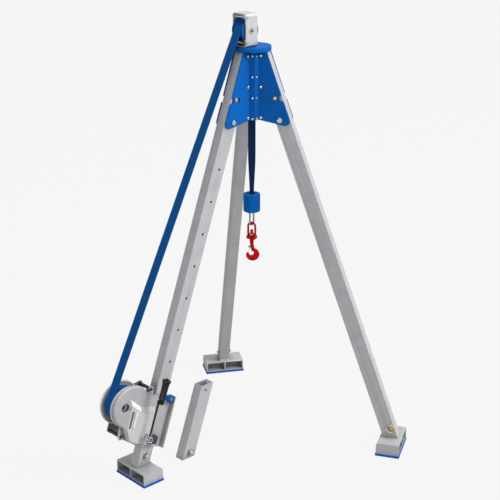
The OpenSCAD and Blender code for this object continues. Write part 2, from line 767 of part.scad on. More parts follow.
// Leg tube: level cut on the foot, upright cut that rests on the core, holes for its pins
module leg_tube(az, pegs) {
    color(aluminium) difference() {
        intersection() {
            on_leg(az) difference() {
                translate([-half_depth, -half_width, 0]) cube([leg_depth, leg_width, leg_top_up]);
                translate([-half_depth + leg_wall, -half_width + leg_wall, -cut])
                    cube([leg_depth - 2 * leg_wall, leg_width - 2 * leg_wall, leg_top_up + 2 * cut]);
            }
            in_plane(az) translate([stop_reach + stop_gap, -leg_width, foot_top])
                cube([leg_ground_r, 2 * leg_width, head_height]);
        }
        on_leg(az) {
            cross_bar(pivot_in, pivot_up, bush_d + 2 * run_fit, -leg_width, leg_width);
            cross_bar(0, lock_up, lock_bolt_d + 2 * run_fit, -leg_width, leg_width);
            cross_bar(0, foot_pin_h, foot_pin_d + 2 * run_fit, -leg_width, leg_width);
            for (i = [0:1:pegs - 1])
                cross_bar(-4, peg_first + i * peg_pitch, peg_d, -leg_width, leg_width);
        }
    }
}

module leg_tube_a() leg_tube(az_a, peg_holes);
module leg_tube_b() leg_tube(az_b, 0);
module leg_tube_c() leg_tube(az_c, 0);

// Pair of flanged bushes pressed into a leg from both sides
module pivot_bush(az) {
    inner = pivot_d / 2 + run_fit;
    for (side = [-1, 1])
        color(steel) on_leg(az) turned(pivot_in, pivot_up) polygon([
            [inner, side * 0.5], [bush_d / 2, side * 0.5], [bush_d / 2, side * half_width],
            [bush_d / 2 + 5, side * half_width], [bush_d / 2 + 5, side * (plate_in - seat_gap)],
            [inner, side * (plate_in - seat_gap)]]);
}

module pivot_bush_a() pivot_bush(az_a);
module pivot_bush_b() pivot_bush(az_b);
module pivot_bush_c() pivot_bush(az_c);

// Lock bolt across a leg, drawn pulled back between the plates, with coned ends
module lock_bolt(az) {
    rb = lock_bolt_d / 2;
    end = plate_in - 0.5;
    color(chrome) on_leg(az) turned(0, lock_up) polygon([
        [0, -end], [rb - 4, -end], [rb, -end + 2], [rb, -8], [rb - 3, -8], [rb - 3, 8], [rb, 8],
        [rb, end - 2], [rb - 4, end], [0, end]]);
}

module lock_bolt_a() lock_bolt(az_a);
module lock_bolt_b() lock_bolt(az_b);
module lock_bolt_c() lock_bolt(az_c);

// Foot: a two-chamber box with a leaning spigot that enters the leg
module foot(az) {
    x0 = foot_circle - foot_length / 2;
    chamber_w = (foot_width - 3 * foot_wall) / 2;
    chamber_h = foot_box_h - 2 * foot_wall;
    spigot_d = leg_depth - 2 * leg_wall - 0.6;
    spigot_w = leg_width - 2 * leg_wall - 0.6;
    heel = plane_r(-half_depth, 0) - foot_top * tan(lean) - half_depth * sin(lean) * tan(lean);
    toe = leg_ground_r - foot_top * tan(lean) - half_depth / cos(lean);
    color(aluminium) difference() {
        union() {
            in_plane(az) {
                translate([x0, 0, pad_h]) difference() {
                    translate([0, -foot_width / 2, 0]) cube([foot_length, foot_width, foot_box_h]);
                    for (side = [-1, 1])
                        translate([-cut, side * (chamber_w + foot_wall) / 2 - chamber_w / 2, foot_wall])
                            cube([foot_length + 2 * cut, chamber_w, chamber_h]);
                    translate([0, 0, foot_box_h]) rotate([0, 45, 0])
                        cube([foot_bevel * sqrt(2), 2 * foot_width, foot_bevel * sqrt(2)], center = true);
                }
                slab(-half_width, half_width) polygon([[toe - 11, foot_top - 0.01],
                    [toe - 0.3, foot_top - 0.01], [toe - 0.3 - 8 * tan(lean), foot_top + 8]]);
            }
            intersection() {
                on_leg(az) translate([-spigot_d / 2, -spigot_w / 2, 0])
                    cube([spigot_d, spigot_w, spigot_h]);
                in_plane(az) translate([0, -leg_width, foot_top - 0.01])
                    cube([leg_ground_r + leg_depth, 2 * leg_width, spigot_h]);
            }
        }
        on_leg(az) {
            cross_bar(0, foot_pin_h, foot_pin_d + 2 * run_fit, -leg_width, leg_width);
            translate([-spigot_d / 2 + 6, -spigot_w / 2 + 6, foot_top / cos(lean) + 16])
                cube([spigot_d - 12, spigot_w - 12, spigot_h]);
        }
    }
}

module foot_a() foot(az_a);
module foot_b() foot(az_b);
module foot_c() foot(az_c);

// Ribbed rubber pad under a foot
module foot_pad(az) {
    groove = 2;
    w = foot_width + 2 * pad_lip;
    color(blue) in_plane(az) difference() {
        translate([foot_circle - foot_length / 2 - pad_lip, -w / 2, 0])
            cube([foot_length + 2 * pad_lip, w, pad_h]);
        for (i = [-2.5:2.5])
            translate([foot_circle - foot_length, i * w / 7.5 - 1.5, -groove])
                cube([2 * foot_length, 3, 2 * groove]);
    }
}

module foot_pad_a() foot_pad(az_a);
module foot_pad_b() foot_pad(az_b);
module foot_pad_c() foot_pad(az_c);

// Bolt with washers and nut that holds the foot of the winch leg
module foot_bolt_a() {
    rb = foot_pin_d / 2;
    color(chrome) on_leg(az_a) {
        turned(0, foot_pin_h) polygon([[0, -half_width - 3], [15, -half_width - 3], [15, -half_width],
            [rb, -half_width], [rb, half_width], [15, half_width], [15, half_width + 3],
            [0, half_width + 3]]);
        translate([0, half_width + 2.9, foot_pin_h]) rotate([-90, 0, 0])
            cylinder(h = 8.1, d = 25, $fn = 6);
        translate([0, -half_width - 12, foot_pin_h]) rotate([-90, 0, 0])
            cylinder(h = 9.1, d = 25, $fn = 6);
    }
}

// Ring pin: a plain shank with a head on its near side, drilled for the pull ring
ring_eye_out = half_width + 11;
ring_stalk_d = 13;
ring_hole_d = ring_wire + ring_stalk_d * ring_stalk_d / (2 * ring_d) + 2 * seat_gap;
module ring_pin(az) {
    rb = foot_pin_d / 2;
    head = -half_width - seat_gap;
    color(chrome) on_leg(az) difference() {
        turned(0, foot_pin_h) polygon([[0, head - 17], [ring_stalk_d / 2 - 2, head - 17],
            [ring_stalk_d / 2, head - 15], [ring_stalk_d / 2, head - 4], [9, head - 4], [9, head],
            [rb, head], [rb, half_width + 11], [rb - 2, half_width + 14], [0, half_width + 14]]);
        translate([0, -ring_eye_out, foot_pin_h - 20]) cylinder(h = 40, d = ring_hole_d);
    }
}

module ring_pin_b() ring_pin(az_b);
module ring_pin_c() ring_pin(az_c);

// Pull ring hanging on the head of a ring pin
module pull_ring(az) {
    color(yellow) on_leg(az) translate([ring_d / 2, -ring_eye_out, foot_pin_h])
        rotate([90, 0, 0]) rotate_extrude($fn = 60)
            translate([ring_d / 2, 0]) circle(d = ring_wire, $fn = 24);
}

module pull_ring_b() pull_ring(az_b);
module pull_ring_c() pull_ring(az_c);

// Channel that hooks round the winch leg and carries the winch
module winch_bracket() {
    back = -half_depth - channel_back;
    color(aluminium) on_leg(az_a) difference() {
        translate([0, 0, channel_up]) union() {
            translate([web_in, -channel_out, 0]) cube([channel_wall, 2 * channel_out, channel_len]);
            for (side = [-1, 1]) scale_side(side) {
                translate([back, channel_in, 0]) cube([web_out - back, channel_wall, channel_len]);
                translate([back, channel_in, 0])
                    cube([channel_wall, channel_wall + channel_lip, channel_len]);
            }
            translate([web_out - 0.01, back_plate_t1, 0])
                cube([8, gear_plate_t0 - back_plate_t1, channel_len]);
        }
        cross_bar(lock_pin_out, lock_pin_up, lock_pin_d + 2 * run_fit, -leg_width, leg_width);
        cross_bar(lock_pin_out, hook_pin_up, lock_pin_d + 2 * run_fit, -leg_width, leg_width);
    }
    color(steel) on_leg(az_a)
        cross_bar(lock_pin_out, hook_pin_up, lock_pin_d, -channel_out - 3, channel_out + 3);
}

// Copies its children to one side or its mirror image
module scale_side(side) {
    if (side > 0) children();
    else mirror([0, 1, 0]) children();
}

// Blue-knobbed pin that closes the bracket behind the leg
module bracket_lock_pin() {
    rk = knob_d / 2;
    k0 = channel_out + seat_gap;
    k1 = k0 + 24;
    rp = lock_pin_d / 2;
    color(blue) on_leg(az_a) turned(lock_pin_out, lock_pin_up) polygon([
        [0, -channel_out - 8], [rp - 3, -channel_out - 8], [rp, -channel_out - 5], [rp, k0],
        [rk - 3, k0], [rk, k0 + 3], [rk, k1 - 5], [rk - 5, k1], [8, k1], [8, k1 - 4], [0, k1 - 4]]);
}

// Flat outline of the gear case in the frame of the winch leg, drawn in by w
case_top = drum_up + cover_r - 19;
case_in = crank_out - 50;
case_low = crank_up - 40;
module case_outline(w) {
    polygon(concat(
        arc([drum_out, drum_up], cover_r - 0.6 - w, -95, 128, 60),
        [[knob_out - 1, case_top - w], [case_in + 22 + w, case_top - 21 - w],
            [case_in + 10 + w, case_top - 39], [case_in + w, case_low + 16 + w],
            [case_in + 10 + w, case_low + w], [crank_out + 42, case_low + 1 + w],
            [drum_out - 12 - w, case_low + 13 + w]]));
}

// Steel plate between the drum and the gears, with the bearing holes
module gear_plate() {
    color(steel) on_leg(az_a) difference() {
        union() {
            slab(gear_plate_t0, gear_plate_t1) case_outline(0);
            slab(gear_plate_t0, gear_plate_t1) polygon(concat(arc(top_rod, 14, 0, 180, 16),
                [[crank_out - 20, drum_up + 30], [crank_out + 50, drum_up + 50]]));
            slab(gear_plate_t0, gear_plate_t1) polygon(concat(arc(ear, 17, 180, 360, 20),
                [[drum_out + 30, crank_up + 60], [drum_out - 60, crank_up]]));
        }
        cross_bar(drum_out, drum_up, drum_shaft_d + 2 * run_fit, 0, big);
        cross_bar(lay_out, lay_up, shaft_d + 2 * run_fit, 0, big);
        cross_bar(crank_out, crank_up, shaft_d + 2 * run_fit, 0, big);
        cross_bar(ear[0], ear[1], tie_d + 2 * run_fit, 0, big);
        cross_bar(top_rod[0], top_rod[1], tie_d + 2 * run_fit, 0, big);
    }
}

// Plate behind the drum that holds the far end of its shaft
module back_plate() {
    color(steel) on_leg(az_a) difference() {
        slab(back_plate_t0, back_plate_t1) union() {
            translate([drum_out, drum_up]) circle(46, $fn = 72);
            translate(top_rod) circle(14);
            polygon([[web_out, crank_up - 25], [ear[0] - 4, crank_up - 25], [ear[0] + 14, crank_up - 6],
                [ear[0] + 14, crank_up + 25], [drum_out + 40, drum_up - 22],
                [drum_out + 8, drum_up + 45], top_rod + [4, 13], top_rod + [-10, 10],
                [web_out, drum_up + 40]]);
        }
        cross_bar(drum_out, drum_up, drum_shaft_d + 2 * run_fit, -big, 0);
        cross_bar(ear[0], ear[1], tie_d + 2 * run_fit, -big, 0);
        cross_bar(top_rod[0], top_rod[1], tie_d + 2 * run_fit, -big, 0);
    }
}

// Spacer rods that tie the two winch plates together
module winch_tie_rods() {
    end = gear_plate_t1 + 4;
    rt = tie_d / 2;
    for (p = [ear, top_rod])
        color(steel) on_leg(az_a) turned(p[0], p[1]) polygon([
            [0, back_plate_t0 - 5], [rt + 3, back_plate_t0 - 5], [rt + 3, back_plate_t0],
            [rt, back_plate_t0], [rt, back_plate_t1], [rt + 2, back_plate_t1], [rt + 2, gear_plate_t0],
            [rt, gear_plate_t0], [rt, gear_plate_t1], [rt + 1, gear_plate_t1], [rt + 1, end], [0, end]]);
}

// Raised part of the case over the layshaft gear and the crank pinion
lay_case_r = lay_module * (lay_teeth + 2) / 2 + 2.5 + cover_wall;
crank_case_r = 30;
module raised_outline(w) {
    a = [lay_out, lay_up];
    b = [crank_out, crank_up];
    r = lay_case_r - w;
    q = crank_case_r - w;
    k = acos((r - q) / norm(b - a));
    polygon(concat(arc(b, q, lay_to_crank_a - k, lay_to_crank_a + k, 24),
        arc(a, r, lay_to_crank_a + k, lay_to_crank_a + 360 - k, 60)));
}

// Cast gear cover: a dished disc, a flat skirt and the raised gear case with its ribs
module gear_cover() {
    depth = cover_face - gear_plate_t1;
    edge = 8;
    hub_wall = 6;
    color(cast_grey) on_leg(az_a) difference() {
        union() {
            slab(gear_plate_t1, cover_face - 2) case_outline(3);
            slab(gear_plate_t1, gear_plate_t1 + 5) case_outline(0);
            turned(drum_out, drum_up) translate([0, gear_plate_t1]) union() {
                square([cover_r - edge, depth]);
                square([cover_r, depth - edge]);
                translate([cover_r - edge, depth - edge]) circle(edge);
            }
            slab(cover_face - 3, raised_face - 4) raised_outline(0);
            slab(cover_face - 3, raised_face) raised_outline(4);
            turned(drum_out, drum_up) translate([hub_hole_r - 2, cover_face - 3])
                square([hub_wall + 2, 6]);
            turned(crank_out, crank_up) polygon([[0, raised_face - 6], [22, raised_face - 6],
                [22, raised_face + 14], [19, raised_face + 17], [0, raised_face + 17]]);
            for (i = [0:3])
                slab(cover_face - 3, raised_face + 3)
                    translate([lay_out - 24 + i * 15, lay_up - 40]) square([5, 66]);
            slab(gear_plate_t1, cover_face + 4)
                translate([47, crank_up - 43]) square([76, 7]);
        }
        slab(gear_plate_t1 - cut, cover_face - cover_wall) case_outline(cover_wall + 3);
        turned(drum_out, drum_up) translate([0, gear_plate_t1 - cut])
            square([cover_r - cover_wall, depth - cover_wall + cut]);
        slab(cover_face - cover_wall - cut, raised_face - cover_wall) raised_outline(cover_wall);
        cross_bar(drum_out, drum_up, 2 * hub_hole_r, 0, big);
        cross_bar(lay_out, lay_up, shaft_d + 2 * run_fit, 0, raised_face - 2);
        cross_bar(crank_out, crank_up, shaft_d + 2 * run_fit, 0, big);
    }
}

// Drum: two beaded flanges on a barrel, with its shaft
module winch_drum() {
    rf = flange_d / 2;
    rs = drum_shaft_d / 2;
    bead = 3;
    color(aluminium) on_leg(az_a) turned(drum_out, drum_up) polygon([
        [0, back_plate_t0 - 6], [rs - 1, back_plate_t0 - 6], [rs, back_plate_t0 - 5],
        [rs, -flange_out], [rf - bead, -flange_out], [rf, -flange_out + bead],
        [rf, -drum_half - bead], [rf - bead, -drum_half], [rf - 9, -drum_half],
        [rf - 12, -drum_half - 3], [barrel_d / 2 + 4, -drum_half - 3], [barrel_d / 2, -drum_half],
        [barrel_d / 2, drum_half], [barrel_d / 2 + 4, drum_half + 3], [rf - 12, drum_half + 3],
        [rf - 9, drum_half], [rf - bead, drum_half], [rf, drum_half + bead],
        [rf, flange_out - bead], [rf - bead, flange_out], [rs, flange_out],
        [rs, gear_t1 + 1], [rs - 2, gear_t1 + 3], [0, gear_t1 + 3]]);
}

// Wound strap: a plain core under one outer turn that winds outwards
wound_space = 0.9;
wound_pitch = strap_t + wound_space;
wound_steps = 90;
wound_start = 8;
function wound_point(i, inward) =
    let (a = run_tilt - run_wrap + 360 * (1 - i / wound_steps))
    (wound_r - wound_pitch * (1 - i / wound_steps) - inward) * [cos(a), sin(a)];
wound_edge = concat(
    [for (i = [0:wound_steps]) wound_point(i, 0)],
    [for (i = [wound_steps:-1:wound_start]) wound_point(i, strap_t)],
    [for (i = [wound_start:wound_steps - 1]) wound_point(i, strap_t + wound_space)]
);
wound_gap = norm(wound_point(wound_steps, strap_t)) - norm(wound_point(0, 0));
echo("least gap between the wound strap and itself, mm", wound_gap);

module wound_strap() {
    color(strap_blue) in_plane(az_a) translate([drum_r, 0, drum_z])
        slab(-strap_w / 2, strap_w / 2) difference() {
            polygon(wound_edge);
            circle(barrel_d / 2 + run_fit, $fn = 96);
        }
}

// Outline of a spur gear with backlash, its first tooth at angle a0
module gear_outline(m, teeth, a0) {
    rp = m * teeth / 2;
    root = rp - 1.2 * m;
    tip = rp + 0.9 * m;
    half = 90 / teeth;
    polygon([for (i = [0:teeth - 1]) each
        [for (p = [[root, -1.42], [rp, -0.86], [tip, -0.4], [tip, 0.4], [rp, 0.86], [root, 1.42]])
            let (a = a0 + 360 * i / teeth + half * p[1]) p[0] * [cos(a), sin(a)]]]);
}

module drum_gear() {
    color(steel) on_leg(az_a) difference() {
        translate([drum_out, 0, drum_up]) slab(gear_t0, gear_t1)
            gear_outline(drum_module, drum_teeth, lay_a);
        cross_bar(drum_out, drum_up, drum_shaft_d + 2 * run_fit, 0, big);
        for (i = [0:4])
            cross_bar(drum_out + 46 * cos(72 * i), drum_up + 46 * sin(72 * i), 24, 0, big);
    }
}

// Layshaft with the pinion that drives the drum gear and the gear that the crank drives
module lay_gear() {
    step = 180 / pinion_teeth;
    color(steel) on_leg(az_a) {
        translate([lay_out, 0, lay_up]) {
            slab(gear_t0, lay_t0) gear_outline(drum_module, pinion_teeth, lay_a + 180 + step);
            slab(lay_t0, lay_t1) gear_outline(lay_module, lay_teeth, lay_to_crank_a);
        }
        cross_bar(lay_out, lay_up, shaft_d, gear_plate_t0, raised_face - 2 - seat_gap);
    }
}

// Crank shaft with its pinion and the ratchet wheel of the load brake
ratchet_teeth = 12;
ratchet_r = 23;
module crank_shaft() {
    step = 180 / pinion_teeth;
    color(steel) on_leg(az_a) {
        translate([crank_out, 0, crank_up]) slab(lay_t0, lay_t1)
            gear_outline(lay_module, pinion_teeth, lay_to_crank_a + 180 + step);
        translate([crank_out, 0, crank_up]) slab(gear_t0, lay_t0 - 1.5)
            polygon([for (i = [0:ratchet_teeth - 1])
                let (a = 360 / ratchet_teeth * i, b = 360 / ratchet_teeth * (i + 0.12))
                each [ratchet_r * [cos(a), sin(a)], (ratchet_r - 5) * [cos(b), sin(b)]]]);
        cross_bar(crank_out, crank_up, shaft_d, gear_plate_t0, crank_t0 + crank_rod_d + 3);
    }
}

// Rubber-faced block on the side of the winch bracket
module bracket_block() {
    edge = 3;
    color(black) on_leg(az_a) translate([-16, channel_out, channel_up + 19]) difference() {
        cube([46, 27, 40]);
        for (z = [0, 40]) translate([-cut, 27, z]) rotate([45, 0, 0])
            translate([0, -edge, -edge]) cube([46 + 2 * cut, 2 * edge, 2 * edge]);
    }
}

// Pawl on its post beside the ratchet wheel, drawn lifted clear of the teeth
pawl_place = [crank_out - 31, crank_up + 34];
module ratchet_pawl() {
    color(steel) on_leg(az_a) {
        slab(gear_t0, gear_t0 + 8) union() {
            translate(pawl_place) circle(7);
            polygon([pawl_place + [-2, -7], pawl_place + [6, -4], [crank_out - 14, crank_up + 20.5],
                [crank_out - 20, crank_up + 17.5]]);
        }
        cross_bar(pawl_place[0], pawl_place[1], 8, gear_plate_t1, gear_t0 + 1);
    }
}

// Spring-loaded knob on top of the case that lifts the pawl
knob_out = 113;
module release_knob() {
    color(black) on_leg(az_a) translate([knob_out, gear_plate_t1 + 9, case_top + seat_gap]) {
        cylinder(h = 5, d = 12);
        translate([0, 0, 5]) cylinder(h = 8, d = 17);
    }
}

// Crank arm: a hub on the shaft end, a round arm and a lug for the folding grip
module crank_arm() {
    hub_t = crank_t0 - 8;
    lug_h = 8;
    color(black) on_leg(az_a) difference() {
        union() {
            cross_bar(crank_out, crank_up, 34, hub_t, crank_t0 + crank_rod_d);
            translate([crank_out, crank_mid, crank_up]) cylinder(h = crank_len - 4, d = crank_rod_d);
            translate([crank_out - lug_h / 2, crank_mid - 5, fork_up - 8])
                cube([lug_h, grip_off + 12, 16]);
        }
        cross_bar(crank_out, crank_up, shaft_d + 2 * run_fit, 0, big);
        translate([crank_out - 20, grip_mid, fork_up]) rotate([0, 90, 0])
            cylinder(h = 40, d = 6 + 2 * run_fit);
    }
}

// Fork that folds at the end of the crank arm, with the spindle of the grip
module grip_fork() {
    cheek = 5;
    gap = 4 + seat_gap;
    color(black) on_leg(az_a) translate([crank_out, grip_mid, fork_up]) {
        for (side = [-1, 1]) translate([side * (gap + cheek / 2) - cheek / 2, 0, 0]) {
            rotate([0, 90, 0]) cylinder(h = cheek, r = 9);
            translate([0, -9, 0]) cube([cheek, 18, 17]);
        }
        translate([-gap - cheek, 0, 0]) rotate([0, 90, 0]) cylinder(h = 2 * (gap + cheek), d = 6);
        translate([-gap - cheek, -9, 13]) cube([2 * (gap + cheek), 18, 5]);
        translate([0, 0, 17]) cylinder(h = grip_len + 6, d = 10);
        translate([0, 0, 18 + seat_gap + grip_len + seat_gap]) cylinder(h = 4, d = 16);
    }
}

// Turning sleeve of the grip, waisted, with a flared end
module crank_grip() {
    rg = grip_d / 2;
    color(black) on_leg(az_a) translate([crank_out, grip_mid, fork_up + 18 + seat_gap])
        rotate_extrude($fn = 60) polygon([[5 + run_fit, 0], [rg - 2, 0], [rg, 3], [rg - 2, 18],
            [rg - 2, grip_len - 26], [rg, grip_len - 18], [rg + 3.5, grip_len - 12],
            [rg + 3.5, grip_len - 4], [rg, grip_len], [5 + run_fit, grip_len]]);
}

// Spare length of leg tube that stands beside the winch leg, cut level at both ends
module spare_leg_piece() {
    spare_hole = 444;
    spare_bolt = 133;
    out = -spare_off * cos(lean);
    up = -spare_off * sin(lean);
    color(aluminium) difference() {
        intersection() {
            on_leg(az_a) translate([out, 0, up]) difference() {
                translate([-half_depth, -half_width, -big / 2]) cube([leg_depth, leg_width, big]);
                translate([-half_depth + leg_wall, -half_width + leg_wall, -big / 2 - cut])
                    cube([leg_depth - 2 * leg_wall, leg_width - 2 * leg_wall, big + 2 * cut]);
            }
            in_plane(az_a) translate([0, -leg_width, 0])
                cube([leg_ground_r, 2 * leg_width, spare_h]);
        }
        on_leg(az_a) {
            cross_bar(out, spare_hole, foot_pin_d + 2 * run_fit, -leg_width, leg_width);
            cross_bar(out, spare_bolt, foot_pin_d + 2 * run_fit, -leg_width, leg_width);
        }
    }
    color(chrome) on_leg(az_a) {
        rb = foot_pin_d / 2;
        turned(out, spare_bolt) polygon([[0, -half_width - 3], [12, -half_width - 3], [12, -half_width],
            [rb, -half_width], [rb, half_width], [12, half_width], [12, half_width + 3],
            [0, half_width + 3]]);
        translate([out, half_width + 2.9, spare_bolt]) rotate([-90, 0, 0])
            cylinder(h = 8.1, d = 21, $fn = 6);
    }
}

head_disc();
head_core();
side_sheet_front();
side_sheet_right();
side_sheet_left();
core_screws();
sheet_bolts();
pivot_bolts();
sheave_bracket();
sheave_axle();
strap_guards();
strap_over_sheave();
strap_hanging();
sheave();
sheave_bearings();
hook_weight();
hook_shackle();
swivel_eye();
lifting_hook();
hook_nut();
hook_latch();
leg_tube_a();
leg_tube_b();
leg_tube_c();
pivot_bush_a();
pivot_bush_b();
pivot_bush_c();
lock_bolt_a();
lock_bolt_b();
lock_bolt_c();
foot_a();
foot_b();
foot_c();
foot_pad_a();
foot_pad_b();
foot_pad_c();
foot_bolt_a();
ring_pin_b();
ring_pin_c();
pull_ring_b();
pull_ring_c();
winch_bracket();
gear_plate();
back_plate();
gear_cover();
winch_tie_rods();
ratchet_pawl();
bracket_lock_pin();
release_knob();
winch_drum();
wound_strap();
drum_gear();
lay_gear();
crank_shaft();
crank_arm();
bracket_block();
grip_fork();
crank_grip();
strap_run();
spare_leg_piece();
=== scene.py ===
"""Looks of the rescue tripod: materials, straps, hook, cast cover, small details, studio and camera.

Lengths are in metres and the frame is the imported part's own. Leg places use the leg frame of the
part's source: "out" of the leg, "side" along its width and "up" the leg.
"""

import json
import math

import bmesh
import bpy
from mathutils import Matrix, Vector


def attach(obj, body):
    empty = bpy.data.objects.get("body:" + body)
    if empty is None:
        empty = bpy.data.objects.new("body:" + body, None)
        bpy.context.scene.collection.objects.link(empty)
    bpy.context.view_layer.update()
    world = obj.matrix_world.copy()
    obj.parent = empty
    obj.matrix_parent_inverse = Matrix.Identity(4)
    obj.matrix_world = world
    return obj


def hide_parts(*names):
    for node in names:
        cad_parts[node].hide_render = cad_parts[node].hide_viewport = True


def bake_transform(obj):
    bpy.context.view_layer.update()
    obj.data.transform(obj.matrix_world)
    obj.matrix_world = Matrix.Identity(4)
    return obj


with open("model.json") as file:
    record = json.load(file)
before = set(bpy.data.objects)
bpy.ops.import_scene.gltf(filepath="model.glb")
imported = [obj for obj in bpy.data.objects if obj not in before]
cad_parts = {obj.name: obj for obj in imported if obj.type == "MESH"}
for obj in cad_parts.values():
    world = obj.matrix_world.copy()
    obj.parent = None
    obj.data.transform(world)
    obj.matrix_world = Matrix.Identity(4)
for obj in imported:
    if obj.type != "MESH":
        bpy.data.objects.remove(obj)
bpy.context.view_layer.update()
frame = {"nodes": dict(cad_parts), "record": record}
nodes = frame["nodes"]

# Sizes, as in the part's source
MM = 0.001
LEAN = math.radians(20)
FOOT_CIRCLE = 712.5
FOOT_TOP = 66.0
FOOT_LENGTH, FOOT_WIDTH, PAD_LIP = 111.0, 205.0, 3.0
LEG_GROUND_R = FOOT_CIRCLE + FOOT_TOP * math.tan(LEAN)
AZ = {"a": math.radians(210), "b": math.radians(330), "c": math.radians(90)}
DISC_TOP = 1933.0
SHEAVE_D, STRAP_GAP, STRAP_T, STRAP_W = 80.0, 0.3, 2.6, 50.0
SHEAVE_R = SHEAVE_D / 2 + STRAP_GAP + STRAP_T / 2
SHEAVE_Z = DISC_TOP + 73.0
DRUM_OUT, DRUM_UP = 190.0, 358.0
DRUM_SIDE, FLANGE_R = 38.0, 105.0
CAD_COVER_R, CAD_COVER_SIDE = 98.0, 52.0
WOUND_R = 83.6
RUN_R = WOUND_R + STRAP_GAP + STRAP_T / 2
WEIGHT_TOP = 1234.0


def footprint_shift():
    """How far the part's source moves everything to put the origin in the middle of the footprint."""
    drum_r = LEG_GROUND_R - DRUM_UP * math.sin(LEAN) + DRUM_OUT * math.cos(LEAN)
    reach = FOOT_CIRCLE + FOOT_LENGTH / 2 + PAD_LIP
    x_high = math.cos(AZ["b"]) * reach - math.sin(AZ["b"]) * (FOOT_WIDTH / 2 + PAD_LIP)
    flange_x = FLANGE_R * abs(math.cos(AZ["a"])) + DRUM_SIDE * abs(math.sin(AZ["a"]))
    x_low = math.cos(AZ["a"]) * drum_r - flange_x
    cover_y = CAD_COVER_R * abs(math.sin(AZ["a"])) - CAD_COVER_SIDE * math.cos(AZ["a"])
    y_low = math.sin(AZ["a"]) * drum_r - cover_y
    return Vector((-(x_high + x_low) / 2, -(reach + y_low) / 2, 0.0))


SHIFT = footprint_shift()


def in_plane(leg, r, side, z):
    """Point at radius r, sideways distance side and height z in the upright plane of a leg."""
    a = AZ[leg]
    x = r * math.cos(a) - side * math.sin(a)
    y = r * math.sin(a) + side * math.cos(a)
    return (Vector((x, y, z)) + SHIFT) * MM


def leg_plane(out, up):
    """Radius and height of a point of the leg frame."""
    return (
        LEG_GROUND_R - up * math.sin(LEAN) + out * math.cos(LEAN),
        up * math.cos(LEAN) + out * math.sin(LEAN),
    )


def on_leg(leg, out, side, up):
    """Point of the leg frame in the row frame."""
    r, z = leg_plane(out, up)
    return in_plane(leg, r, side, z)


def leg_matrix(leg, out, side, up):
    """Frame with X out of the leg, Y sideways and Z up the leg, its origin at the given point."""
    rot = Matrix.Rotation(AZ[leg], 4, "Z") @ Matrix.Rotation(-LEAN, 4, "Y")
    return Matrix.Translation(on_leg(leg, out, side, up)) @ rot


DRUM_R, DRUM_Z = leg_plane(DRUM_OUT, DRUM_UP)
RUN_TILT = math.atan2(DRUM_R - SHEAVE_R, SHEAVE_Z - DRUM_Z) + math.asin(
    (RUN_R - SHEAVE_R) / math.hypot(DRUM_R - SHEAVE_R, SHEAVE_Z - DRUM_Z)
)


# Materials
def srgb(r, g, b):
    """A photo colour, 0 to 255, as the linear colour that Blender wants."""
    out = []
    for c in (r, g, b):
        c = c / 255
        out.append(c / 12.92 if c <= 0.04045 else ((c + 0.055) / 1.055) ** 2.4)
    return (*out, 1.0)


class Maker:
    """Small helper that builds one node material around a Principled shader."""

    def __init__(self, name, roughness=0.5, metallic=0.0):
        self.mat = bpy.data.materials.new(name)
        self.mat.use_nodes = True
        self.tree = self.mat.node_tree
        self.shader = self.tree.nodes["Principled BSDF"]
        self.shader.inputs["Roughness"].default_value = roughness
        self.shader.inputs["Metallic"].default_value = metallic
        self.coords = self.tree.nodes.new("ShaderNodeTexCoord")

    def node(self, kind, **values):
        """New shader node, with settings and input values given by name."""
        made = self.tree.nodes.new(kind)
        for key, value in values.items():
            if hasattr(made, key):
                setattr(made, key, value)
            else:
                made.inputs[key.replace("_", " ")].default_value = value
        return made

    def link(self, a, b):
        self.tree.links.new(a, b)

    def mapped(self, scale=(1, 1, 1)):
        """The object's own coordinates, scaled."""
        mapping = self.node("ShaderNodeMapping")
        mapping.inputs["Scale"].default_value = scale
        self.link(self.coords.outputs["Object"], mapping.inputs["Vector"])
        return mapping.outputs["Vector"]

    def noise(self, vector, scale, detail=4.0, roughness=0.55):
        n = self.node("ShaderNodeTexNoise", Scale=scale, Detail=detail, Roughness=roughness)
        self.link(vector, n.inputs["Vector"])
        return n.outputs["Fac"]

    def ramp(self, fac, stops):
        """Colour ramp with stops of (place, colour)."""
        ramp = self.node("ShaderNodeValToRGB")
        while len(ramp.color_ramp.elements) < len(stops):
            ramp.color_ramp.elements.new(0.5)
        for element, (place, colour) in zip(ramp.color_ramp.elements, stops):
            element.position = place
            element.color = colour
        self.link(fac, ramp.inputs["Fac"])
        return ramp.outputs["Color"]

    def value(self, fac, low, high):
        """A 0 to 1 value spread from low to high."""
        r = self.node("ShaderNodeMapRange")
        r.inputs["To Min"].default_value = low
        r.inputs["To Max"].default_value = high
        self.link(fac, r.inputs["Value"])
        return r.outputs["Result"]

    def bump(self, height, distance, strength=1.0):
        b = self.node("ShaderNodeBump", Strength=strength, Distance=distance)
        self.link(height, b.inputs["Height"])
        self.link(b.outputs["Normal"], self.shader.inputs["Normal"])

    def colour(self, socket, corner_shade=None, reach=0.06):
        """Base colour; the second argument is how much of it stays in the deepest corners and hollows, as
        painted shade from an ambient occlusion node.
        """
        if corner_shade is not None:
            corners = self.node("ShaderNodeAmbientOcclusion", samples=8)
            corners.inputs["Distance"].default_value = reach
            stops = [(0.15, (corner_shade, corner_shade, corner_shade, 1)), (0.85, (1, 1, 1, 1))]
            level = self.ramp(corners.outputs["AO"], stops)
            shaded = self.node("ShaderNodeVectorMath", operation="MULTIPLY")
            self.link(socket, shaded.inputs[0])
            self.link(level, shaded.inputs[1])
            socket = shaded.outputs["Vector"]
        self.link(socket, self.shader.inputs["Base Color"])

    def rough(self, socket):
        self.link(socket, self.shader.inputs["Roughness"])


def shade(colour, k):
    """The same colour, lighter or darker by k."""
    return (colour[0] * k, colour[1] * k, colour[2] * k, 1.0)


